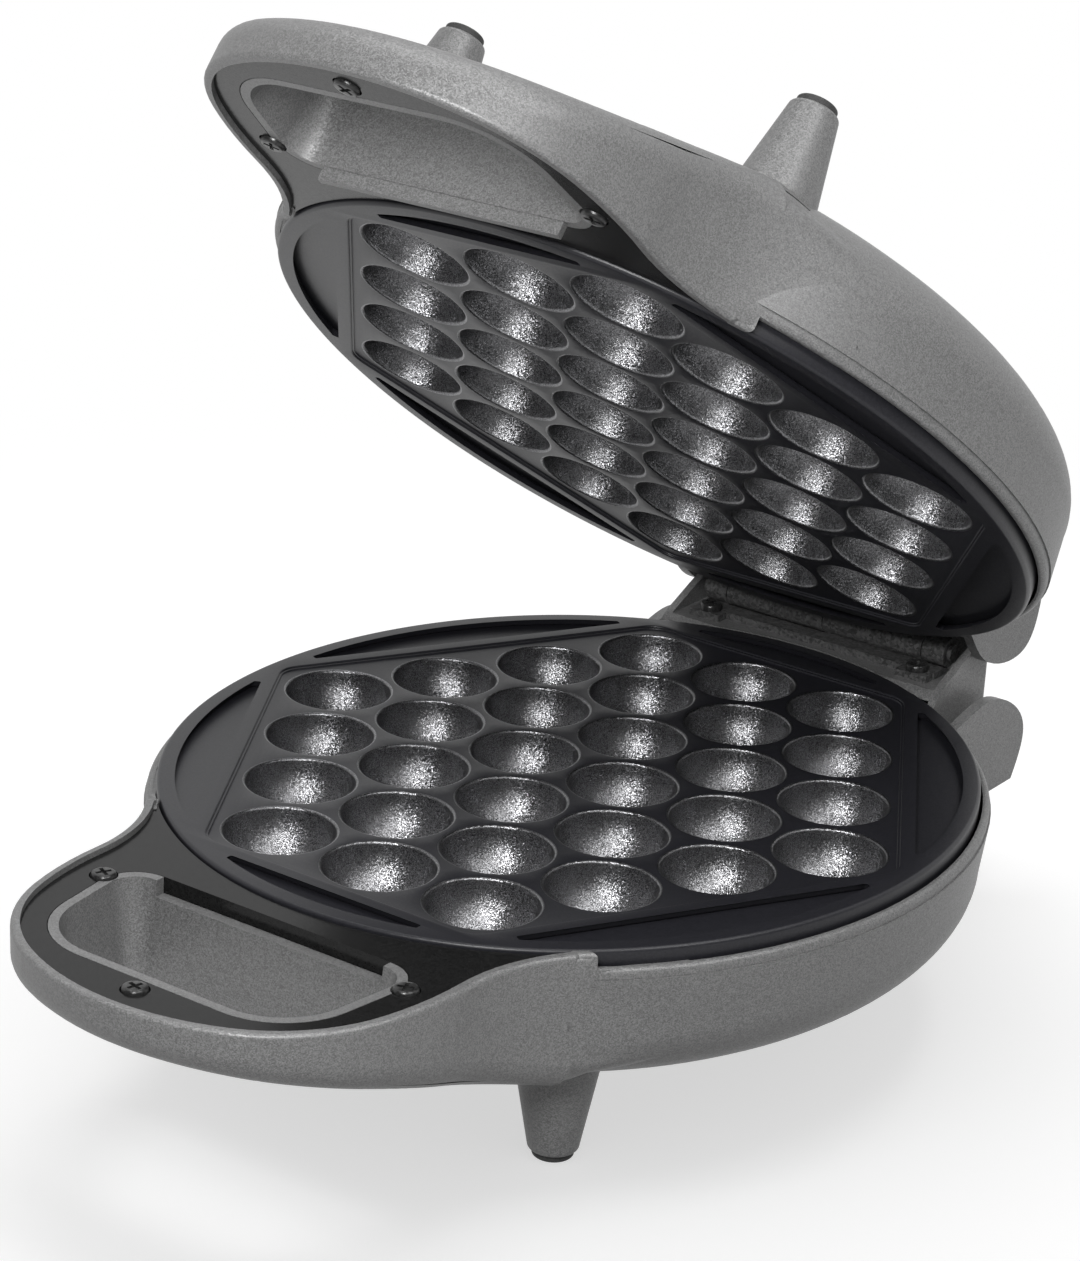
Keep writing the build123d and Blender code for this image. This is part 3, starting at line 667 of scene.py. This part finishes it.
def pocket(index):
    """Outline of the pocket beside one side of the hexagon, with round ends."""
    sides = hexagon(FIELD_GROW + RIDGE)
    start, end = sides[index], sides[(index + 1) % len(sides)]
    along = (end - start).normalized()
    square = Vector((along.y, -along.x))
    a, b = plate_half_x - RIM, plate_half_y - RIM
    inner, outer = [], []
    for k in range(POCKET_STEPS):
        point = start.lerp(end, (k + 0.5) / POCKET_STEPS)
        p = (point.x / a) ** 2 + (point.y / b) ** 2 - 1
        q = point.x * square.x / a ** 2 + point.y * square.y / b ** 2
        r = (square.x / a) ** 2 + (square.y / b) ** 2
        reach = (math.sqrt(max(q * q - r * p, 0)) - q) / r
        clear = min((point - start).length, (end - point).length)
        if reach > TIP_WIDTH and clear > TIP_STOP:
            inner.append(point)
            outer.append(point + square * reach)
    last = len(outer) - 1
    thinned = [outer[k] for k in range(last - POCKET_THIN, POCKET_THIN, -POCKET_THIN)]
    corners = [inner[0], inner[-1], outer[-1]] + thinned + [outer[0]]
    return rounded(corners, TIP_ROUND, TIP_STEPS)


print("pocket outlines:", [len(pocket(index)) for index in range(6)], "points")

# %% [markdown]
# ## Strips and flats
#
# All walls of the casting are steps from one level to the next, with a round top
# edge and a round foot. A bevel could round them, but it would also touch the
# cups, so each wall is a strip with a rounded profile, swept along its outline.
# The flats between the strips are filled 2D curves, in which an inner outline is
# a hole.

# %% Strips and flats
ROUND_STEPS = 4


def quarter(steps):
    """Angles from 0 to a right angle."""
    return [math.radians(90 * k / steps) for k in range(steps + 1)]


def offset(points, amount):
    """Outline moved square to itself; a positive amount goes to its left."""
    moved = []
    for i, point in enumerate(points):
        along = (points[(i + 1) % len(points)] - points[i - 1]).normalized()
        moved.append(point + Vector((-along.y, along.x)) * amount)
    return moved


def strip(shape, points, profile):
    """Band of faces along a closed outline; the profile is (offset, depth) pairs."""
    bridge(shape, [[shape.verts.new((p.x, p.y, depth)) for p in offset(points, aside)]
                   for aside, depth in profile])


def step_profile(top, bottom, high_round, low_round, draft):
    """Rounded step that goes down from one level to another towards the left."""
    edge = [(-high_round * (1 - math.sin(a)), top + high_round * (1 - math.cos(a)))
            for a in quarter(ROUND_STEPS)]
    foot = [(draft + low_round * (1 - math.cos(a)), bottom - low_round * (1 - math.sin(a)))
            for a in quarter(ROUND_STEPS)]
    return edge + foot


def outline_curve(name, outlines):
    """Object with one closed curve for each outline."""
    curve = bpy.data.curves.new(name, "CURVE")
    for points in outlines:
        line = curve.splines.new("POLY")
        line.points.add(len(points) - 1)
        line.use_cyclic_u = True
        for knot, point in zip(line.points, points):
            knot.co = (point.x, point.y, 0, 1)
    return linked(name, curve)


def evaluated_mesh(holder):
    """Plain mesh of an object as its curve fill or modifier shows it."""
    shown = holder.evaluated_get(bpy.context.evaluated_depsgraph_get())
    return bpy.data.meshes.new_from_object(shown)


def flat(outlines, depth):
    """Flat face between closed outlines, with the inner ones as holes."""
    holder = outline_curve("flat", outlines)
    holder.data.dimensions = "2D"
    holder.data.fill_mode = "BOTH"
    mesh = evaluated_mesh(holder)
    bpy.data.objects.remove(holder)
    for vertex in mesh.vertices:
        vertex.co.z = depth
    return mesh


print("step profile:", len(step_profile(land_z, field_z, EDGE, EDGE, EDGE)), "points")

# %% [markdown]
# ## Cups as Geometry Nodes
#
# Thirty equal cups on a grid are what Geometry Nodes do well. The tree bends a
# flat grid into one bowl with a rounded lip, puts it on every point, fills the
# face between the bowls up to an outline, and welds the two. Cutting the cups
# with booleans would be slower and would leave ragged shading at the lips. The
# sizes are inputs, so the same tree also makes the plate's back.

# %% Bowl part of the tree
SEGMENTS = 48
BOWL_RINGS = 17
LIP_SHARE = 0.25
WELD = 0.01 * MM


def math_in(tree):
    """Function that adds a Math node, whose inputs are links or numbers."""
    add, join = builder(tree)

    def calculate(kind, *values):
        node = add("ShaderNodeMath", operation=kind)
        for socket, value in zip(node.inputs, values):
            if isinstance(value, (int, float)):
                socket.default_value = value
            else:
                join(value, socket)
        return node.outputs[0]
    return calculate


def bowl_nodes(group, start):
    """Nodes that bend a grid into a bowl with a rounded lip."""
    add, join = builder(group)
    calculate = math_in(group)
    grid = add("GeometryNodeMeshGrid")
    set_inputs(grid, Size_X=1.0, Size_Y=1.0, Vertices_X=SEGMENTS + 1, Vertices_Y=BOWL_RINGS)
    where = add("GeometryNodeInputPosition")
    apart = add("ShaderNodeSeparateXYZ")
    join(where.outputs[0], apart.inputs[0])
    angle = calculate("MULTIPLY", calculate("ADD", apart.outputs[0], 0.5), math.tau)
    along = calculate("ADD", apart.outputs[1], 0.5)
    first = calculate("MINIMUM", calculate("DIVIDE", along, LIP_SHARE), 1.0)
    first = calculate("MULTIPLY", first, math.pi / 2)
    second = calculate("DIVIDE", calculate("SUBTRACT", along, LIP_SHARE), 1 - LIP_SHARE)
    second = calculate("MULTIPLY", calculate("MAXIMUM", second, 0.0), math.pi / 2)
    lip = start.outputs["Lip Radius"]
    curl = calculate("MULTIPLY", lip, calculate("SUBTRACT", 1.0, calculate("SINE", first)))
    bowl = calculate("MULTIPLY", start.outputs["Mouth Radius"], calculate("COSINE", second))
    radius = calculate("ADD", curl, bowl)
    drop = calculate("MULTIPLY", lip, calculate("SUBTRACT", 1.0, calculate("COSINE", first)))
    sink = calculate("MULTIPLY", start.outputs["Depth"], calculate("SINE", second))
    bent = add("ShaderNodeCombineXYZ")
    join(calculate("MULTIPLY", radius, calculate("COSINE", angle)), bent.inputs[0])
    join(calculate("MULTIPLY", radius, calculate("SINE", angle)), bent.inputs[1])
    join(calculate("ADD", drop, sink), bent.inputs[2])
    shaped = add("GeometryNodeSetPosition")
    join(grid.outputs["Mesh"], shaped.inputs["Geometry"])
    join(bent.outputs[0], shaped.inputs["Position"])
    return shaped.outputs["Geometry"]


print("bowl:", SEGMENTS, "by", BOWL_RINGS - 1, "faces")

# %% [markdown]
# ## The whole cup tree
#
# The face round the bowls is a filled curve: a ring at each point and the outline
# from the input. Bowls and face each get a material input of their own before
# they are joined, because the bowls' coat differs from the flats'. The tree ends
# with realized copies and set materials, since instances don't survive an export.

# %% Cup tree
def new_tree(name, *inputs):
    """Empty geometry tree with a mesh in and out, and its end nodes."""
    group = bpy.data.node_groups.new(name, "GeometryNodeTree")
    face = group.interface
    face.new_socket("Geometry", in_out="INPUT", socket_type="NodeSocketGeometry")
    for label, kind, value in inputs:
        socket = face.new_socket(label, in_out="INPUT", socket_type="NodeSocket" + kind)
        if value is not None:
            socket.default_value = value
    face.new_socket("Geometry", in_out="OUTPUT", socket_type="NodeSocketGeometry")
    return group, group.nodes.new("NodeGroupInput"), group.nodes.new("NodeGroupOutput")


def cup_tree():
    """Tree that turns points into a flat face with a bowl at each point."""
    group, start, end = new_tree(
        "cups_on_points", ("Mouth Radius", "Float", MOUTH), ("Lip Radius", "Float", LIP),
        ("Depth", "Float", MOUTH), ("Level", "Float", field_z), ("Outline", "Object", None),
        ("Finish", "Material", None), ("Bowl Finish", "Material", None))
    add, join = builder(group)
    bowls = add("GeometryNodeInstanceOnPoints")
    join(start.outputs["Geometry"], bowls.inputs["Points"])
    join(bowl_nodes(group, start), bowls.inputs["Instance"])
    ring = add("GeometryNodeCurvePrimitiveCircle")
    set_inputs(ring, Resolution=SEGMENTS)
    ring_radius = math_in(group)("ADD", start.outputs["Mouth Radius"],
                                 start.outputs["Lip Radius"])
    join(ring_radius, ring.inputs["Radius"])
    rings = add("GeometryNodeInstanceOnPoints")
    join(start.outputs["Geometry"], rings.inputs["Points"])
    join(ring.outputs["Curve"], rings.inputs["Instance"])
    outline = add("GeometryNodeObjectInfo")
    join(start.outputs["Outline"], outline.inputs["Object"])
    both = add("GeometryNodeJoinGeometry")
    join(rings.outputs["Instances"], both.inputs[0])
    join(outline.outputs["Geometry"], both.inputs[0])
    loose = add("GeometryNodeRealizeInstances")
    join(both.outputs[0], loose.inputs[0])
    sheet = add("GeometryNodeFillCurve")
    join(loose.outputs[0], sheet.inputs["Curve"])
    joined = add("GeometryNodeJoinGeometry")
    for part, label in ((bowls.outputs["Instances"], "Bowl Finish"),
                        (sheet.outputs[0], "Finish")):
        real = add("GeometryNodeRealizeInstances")
        painted = add("GeometryNodeSetMaterial")
        join(part, real.inputs[0])
        join(real.outputs[0], painted.inputs["Geometry"])
        join(start.outputs[label], painted.inputs["Material"])
        join(painted.outputs["Geometry"], joined.inputs[0])
    lower = add("ShaderNodeCombineXYZ")
    join(start.outputs["Level"], lower.inputs[2])
    level = add("GeometryNodeSetPosition")
    join(joined.outputs[0], level.inputs["Geometry"])
    join(lower.outputs[0], level.inputs["Offset"])
    weld = add("GeometryNodeMergeByDistance")
    set_inputs(weld, Distance=WELD)
    join(level.outputs["Geometry"], weld.inputs["Geometry"])
    join(weld.outputs["Geometry"], end.inputs[0])
    return group


cups_on_points = cup_tree()
print("cup tree:", len(cups_on_points.nodes), "nodes")

# %% [markdown]
# ## Running the tree for the face and the back
#
# A modifier runs the tree on a mesh of thirty points. Its inputs are set by each
# socket's identifier, before it is first evaluated, and the result is taken as a
# plain mesh. The face has half-round bowls with soft lips, and the back shows
# the same cups from below, a little wider by the casting's wall.

# %% Cooking face and back
def run_tree(tree, base, **values):
    """Mesh that a tree makes from a base mesh, with inputs set by identifier."""
    holder = linked("tree_base", base)
    modifier = holder.modifiers.new("tree", "NODES")
    modifier.node_group = tree
    for item in tree.interface.items_tree:
        key = item.name.replace(" ", "_")
        if item.in_out == "INPUT" and key in values:
            modifier[item.identifier] = values[key]
    mesh = evaluated_mesh(holder)
    holder.modifiers.remove(modifier)
    bpy.data.objects.remove(holder)
    return mesh


cup_points = bpy.data.meshes.new("cup_points")
cup_points.from_pydata([(x, y, 0) for x, y in cups], [], [])
field_outline = rounded(hexagon(FIELD_GROW), FIELD_CORNER)
field_edge = outline_curve("field_edge", [offset(field_outline, 2 * EDGE)])
back_edge = outline_curve("back_edge", [ellipse(RIM)])
cooking_face = run_tree(cups_on_points, cup_points.copy(), Mouth_Radius=MOUTH,
                        Lip_Radius=LIP, Depth=MOUTH, Level=field_z, Outline=field_edge,
                        Finish=coating, Bowl_Finish=bowl_coating)
plate_back = run_tree(cups_on_points, cup_points, Mouth_Radius=BACK_MOUTH,
                      Lip_Radius=BACK_LIP, Depth=CUP_BOTTOM - web_z, Level=web_z,
                      Outline=back_edge, Finish=coating, Bowl_Finish=coating)
bowl_slot = cooking_face.materials.find(bowl_coating.name)
for face in cooking_face.polygons:
    face.material_index = int(face.material_index == bowl_slot)
for helper in (field_edge, back_edge):
    bpy.data.objects.remove(helper)
print("cooking face:", len(cooking_face.polygons), "faces; back:", len(plate_back.polygons))

# %% [markdown]
# ## Rim, ridge, pockets and the whole plate
#
# Strips and flats close the casting: the step down to the field, the six pockets,
# the rim's rounded edge and its flange. Everything meets vertex on vertex, so a
# merge makes one closed mesh. It is made once, and a copy goes into each half in
# place of the measured plate.

# %% Plates
EDGE_STEPS = 6
FOOT_STEPS = 3


def rim_profile(top, bottom, radius):
    """Rounded outer edge of the rim, down its side and round its foot."""
    foot = radius / 2
    edge = [(radius * (1 - math.sin(a)), top + radius * (1 - math.cos(a)))
            for a in quarter(EDGE_STEPS)]
    return edge + [(foot * (1 - math.cos(a)), bottom - foot * (1 - math.sin(a)))
                   for a in quarter(FOOT_STEPS)]


def plate_mesh():
    """Whole plate as one closed mesh, in its half's frame."""
    shape = bmesh.new()
    shape.from_mesh(cooking_face)
    shape.from_mesh(plate_back)
    strip(shape, field_outline, step_profile(land_z, field_z, EDGE, EDGE, EDGE))
    land_holes = [offset(field_outline, -EDGE)]
    for index in range(6):
        outline = pocket(index)
        strip(shape, outline, step_profile(land_z, pocket_z, EDGE, 2 * EDGE, EDGE))
        land_holes.append(offset(outline, -EDGE))
        shape.from_mesh(flat([offset(outline, 3 * EDGE)], pocket_z))
    rim = ellipse(0)
    profile = rim_profile(land_z, flange_z, RIM_ROUND)
    strip(shape, rim, profile)
    shape.from_mesh(flat([offset(rim, profile[0][0])] + land_holes, land_z))
    shape.from_mesh(flat([offset(rim, profile[-1][0]), ellipse(RIM)], flange_z))
    strip(shape, ellipse(RIM), [(0, flange_z), (0, web_z)])
    return to_mesh(shape, "plate")


plate = plate_mesh()
smooth(plate)
for half, (matrix, body) in halves.items():
    mesh = plate.copy()
    mesh.transform(matrix)
    mesh.materials.append(coating)
    mesh.materials.append(bowl_coating)
    piece = linked(half + "_plate", mesh)
    fit(piece, body, "plate_coating", half + "_cooking_plate")
    print(piece.name, len(mesh.polygons), "faces")

# %% [markdown]
# ## Outline of the blends beside the handles
#
# The moulded side runs from the handle into the round body without a corner. A
# small closed piece fills that corner on each side. Rays cast at the measured
# shell find where it starts on the handle and ends on the body at every level,
# and a curve joins the two points along both directions, so it follows the shell
# when its sizes change. Toward the handle's underside the outline draws back into
# the shell, as a fillet does.

# %% Outline of a blend
BLEND_START = -89.0 * MM
BLEND_END = math.radians(-39)
BLEND_LEVELS = (4.5 * MM, 33.0 * MM, 24)
BLEND_STEPS = 14
RAY_START = 130 * MM
ALONG_HANDLE = 2 * MM
ALONG_BODY = 0.02
ROOT_IN_BODY = Vector((3 * MM, 0, 0))
ROOT_IN_HANDLE = Vector((1.5 * MM, 0, 0))
TUCK_FROM = 27.0 * MM
TUCK = Vector((-0.8, 0.6, 0)) * 5.0 * MM


def on_body(shell, angle, depth):
    """Point on the round body in a direction from its middle."""
    out = Vector((math.cos(angle), math.sin(angle), 0))
    return shell.ray_cast(out * RAY_START + Vector((0, 0, depth)), -out)[0]


def on_handle(shell, y, depth):
    """Point on the handle's side at a place along it, or None past its end."""
    return shell.ray_cast(Vector((RAY_START, y, depth)), Vector((-1, 0, 0)))[0]


def blend_curve(shell, depth):
    """Curve from the handle's side to the body at one level, along both."""
    start, end = on_handle(shell, BLEND_START, depth), on_body(shell, BLEND_END, depth)
    leave = (start - on_handle(shell, BLEND_START - ALONG_HANDLE, depth)).normalized()
    arrive = (on_body(shell, BLEND_END + ALONG_BODY, depth) - end).normalized()
    reach = (end - start).length
    curve = []
    for t in (k / BLEND_STEPS for k in range(BLEND_STEPS + 1)):
        curve.append(start * (2 * t ** 3 - 3 * t ** 2 + 1) + end * (3 * t ** 2 - 2 * t ** 3)
                     + leave * reach * (t ** 3 - 2 * t ** 2 + t)
                     + arrive * reach * (t ** 3 - t ** 2))
    return curve


def blend_ring(shell, depth):
    """Closed outline of the blend at one level, with its root in the shell."""
    curve = blend_curve(shell, depth)
    ring = curve + [curve[-1] - ROOT_IN_BODY, curve[0] - ROOT_IN_HANDLE]
    share = max(0.0, (depth - TUCK_FROM) / (BLEND_LEVELS[1] - TUCK_FROM))
    shift = TUCK * (1 - math.sqrt(1 - min(share, 1.0) ** 2))
    return [p + shift for p in ring]


print("blend:", BLEND_LEVELS[2], "levels of", BLEND_STEPS + 3, "points")

# %% [markdown]
# ## The blends and their noses
#
# At the handle's end the shell stands a few millimetres higher than the body's
# edge. A short nose carries the blend's curve up there, and stops where a ray
# across the shell no longer hits the handle. Nose and blend are stacks of rings
# with closed ends, mirrored to the other side.

# %% Blends
NOSE_LEVELS = ((1.3 * MM, 0.75 * MM), (1.6 * MM, 0.25 * MM), (2.4 * MM, 0.0), (6.0 * MM, 0.0))
NOSE_PROBE = 2.5 * MM
NOSE_STEP = 0.1 * MM
NOSE_CLEAR = 0.2 * MM


def nose_rings(shell):
    """Outlines that carry the blend up along the handle's end, over the step."""
    curve = blend_curve(shell, BLEND_LEVELS[0])
    last = BLEND_START
    while on_handle(shell, last + NOSE_STEP, NOSE_PROBE):
        last += NOSE_STEP
    last -= NOSE_CLEAR
    plan = [p for p in curve if p.y < last]
    a, b = plan[-1], curve[len(plan)]
    plan.append(a.lerp(b, (last - a.y) / (b.y - a.y)))
    print("nose ends at", [round(v / MM, 1) for v in plan[-1]])
    rings = []
    for depth, inset in NOSE_LEVELS:
        outer = [Vector((p.x - inset, p.y, depth)) for p in plan]
        roots = [Vector((p.x, p.y, depth)) - ROOT_IN_BODY for p in (outer[-1], outer[0])]
        rings.append(outer + roots)
    return rings


def blend_mesh(shell):
    """Both blends of a half with their noses, in its own frame."""
    shape = bmesh.new()
    top, low, count = BLEND_LEVELS
    blend = [blend_ring(shell, top + (low - top) * k / count) for k in range(count + 1)]
    nose = nose_rings(shell)
    for side in (1, -1):
        for outlines in (blend, nose):
            rings = [[shape.verts.new((side * p.x, p.y, p.z)) for p in outline]
                     for outline in outlines]
            bridge(shape, rings)
            shape.faces.new(rings[0])
            shape.faces.new(rings[-1])
    return to_mesh(shape, "blends")


def in_half(node, matrix):
    """Measured piece as a bmesh in its half's own frame."""
    shape = bmesh.new()
    shape.from_mesh(node.data)
    shape.transform(matrix.inverted() @ node.matrix_world)
    return shape


for half, (matrix, body) in halves.items():
    shape = in_half(nodes[half + "_housing"], matrix)
    mesh = blend_mesh(BVHTree.FromBMesh(shape))
    shape.free()
    smooth(mesh)
    mesh.transform(matrix)
    piece = linked(half + "_blends", mesh)
    use(piece, paint)
    fit(piece, body, "housing_paint")
    print(piece.name, len(mesh.polygons), "faces")

# %% [markdown]
# ## The measured screws
#
# The cover of each handle is held by three pan-head screws, and each hinge leaf
# by two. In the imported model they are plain, and a group of them is one piece.
# Walking along its edges splits it into single screws, whose boxes give the
# places and sizes for the finished ones.

# %% Boxes of the measured screws
def screw_boxes(node, matrix):
    """Low and high corner of each screw in a group, in its half's own frame."""
    shape = in_half(node, matrix)
    bmesh.ops.remove_doubles(shape, verts=shape.verts, dist=WELD)
    left, boxes = set(shape.verts), []
    while left:
        screw, edge = set(), [left.pop()]
        while edge:
            vertex = edge.pop()
            screw.add(vertex)
            for other in (link.other_vert(vertex) for link in vertex.link_edges):
                if other in left:
                    left.remove(other)
                    edge.append(other)
        low = Vector([min(v.co[i] for v in screw) for i in range(3)])
        high = Vector([max(v.co[i] for v in screw) for i in range(3)])
        boxes.append((low, high))
    shape.free()
    return boxes


screw_groups = {}
for half, (matrix, body) in halves.items():
    for kind in ("_trim_screws", "_hinge_screws"):
        screw_groups[half + kind] = (matrix, body, screw_boxes(nodes[half + kind], matrix))
        print(half + kind, len(screw_groups[half + kind][2]), "screws")

# %% [markdown]
# ## One screw
#
# A pan-head screw is a turned piece: a profile from the flat top round the edge
# and down the shank gives its rings. The cross recess has straight walls, so it
# is a cross-shaped hole in the flat top with walls down to a cross-shaped floor.
# Real geometry shows in every view, where a bump would look painted on.

# %% Screw
SCREW_SIDES = 40
HEAD_SHARE = 0.42
HEAD_MOST = 0.6
HEAD_PROFILE = ((0.80, 0.0), (0.90, 0.06), (0.97, 0.25), (1.0, 0.55), (1.0, 1.0), (0.5, 1.0))
RECESS_LONG = 0.62
RECESS_WIDE = 0.15
RECESS_DEEP = 0.75 * MM


def screw_mesh(radius, length):
    """Pan-head screw with a cross recess, its head's top at level zero."""
    shape = bmesh.new()
    head = min(HEAD_SHARE * 2 * radius, length * HEAD_MOST)
    angles = [math.tau * k / SCREW_SIDES for k in range(SCREW_SIDES)]
    circle = [Vector((math.cos(a), math.sin(a))) * radius for a in angles]
    levels = [(share, head * down) for share, down in HEAD_PROFILE]
    levels.append((HEAD_PROFILE[-1][0], length))
    rings = [[shape.verts.new((p.x * share, p.y * share, depth)) for p in circle]
             for share, depth in levels]
    bridge(shape, rings)
    shape.faces.new(rings[-1])
    a, b = radius * RECESS_LONG, radius * RECESS_WIDE
    cross = [Vector(p) for p in ((a, -b), (a, b), (b, b), (b, a), (-b, a), (-b, b), (-a, b),
                                 (-a, -b), (-b, -b), (-b, -a), (b, -a), (b, -b))]
    shape.from_mesh(flat([[p * HEAD_PROFILE[0][0] for p in circle], cross], 0))
    shape.from_mesh(flat([cross], RECESS_DEEP))
    bridge(shape, [[shape.verts.new((p.x, p.y, depth)) for p in cross]
                   for depth in (0, RECESS_DEEP)])
    mesh = to_mesh(shape, "screw")
    smooth(mesh)
    return mesh


print("screw: head profile of", len(HEAD_PROFILE), "points")

# %% [markdown]
# ## Screws on every place
#
# Screws repeat, so a second tree sets a copy on every point and turns each by a
# random amount, as a screwdriver leaves them. The seed is fixed, but the order in
# which the screws were found isn't, so a screw's turn can differ between runs. The
# copies take the place of the measured screws.

# %% Screws
SCREW_SEED = 0


def copies_tree():
    """Tree that sets a copy of an object on every point, each turned its own way."""
    group, start, end = new_tree("copies_on_points", ("Part", "Object", None),
                                 ("Finish", "Material", None))
    add, join = builder(group)
    part = add("GeometryNodeObjectInfo")
    turned = add("FunctionNodeRandomValue", data_type="FLOAT_VECTOR")
    set_inputs(turned, Min=(0, 0, 0), Max=(0, 0, math.tau), Seed=SCREW_SEED)
    copies = add("GeometryNodeInstanceOnPoints")
    real = add("GeometryNodeRealizeInstances")
    finish = add("GeometryNodeSetMaterial")
    join(start.outputs["Part"], part.inputs["Object"])
    join(start.outputs["Geometry"], copies.inputs["Points"])
    join(part.outputs["Geometry"], copies.inputs["Instance"])
    join(turned.outputs["Value"], copies.inputs["Rotation"])
    join(copies.outputs["Instances"], real.inputs[0])
    join(real.outputs[0], finish.inputs["Geometry"])
    join(start.outputs["Finish"], finish.inputs["Material"])
    join(finish.outputs["Geometry"], end.inputs[0])
    return group


copies_on_points = copies_tree()
for name, (matrix, body, boxes) in screw_groups.items():
    low, high = boxes[0]
    part = linked("screw", screw_mesh((high.x - low.x) / 2, high.z - low.z))
    points = bpy.data.meshes.new("screw_points")
    points.from_pydata([((a.x + b.x) / 2, (a.y + b.y) / 2, a.z) for a, b in boxes], [], [])
    mesh = run_tree(copies_on_points, points, Part=part, Finish=black_steel)
    bpy.data.objects.remove(part)
    mesh.transform(matrix)
    piece = linked(name.removesuffix("s") + "_heads", mesh)
    fit(piece, body, "screw_steel", name)
    print(piece.name, len(boxes), "screws, radius", round((high.x - low.x) / 2 / MM, 2),
          "length", round((high.z - low.z) / MM, 2), "mm")
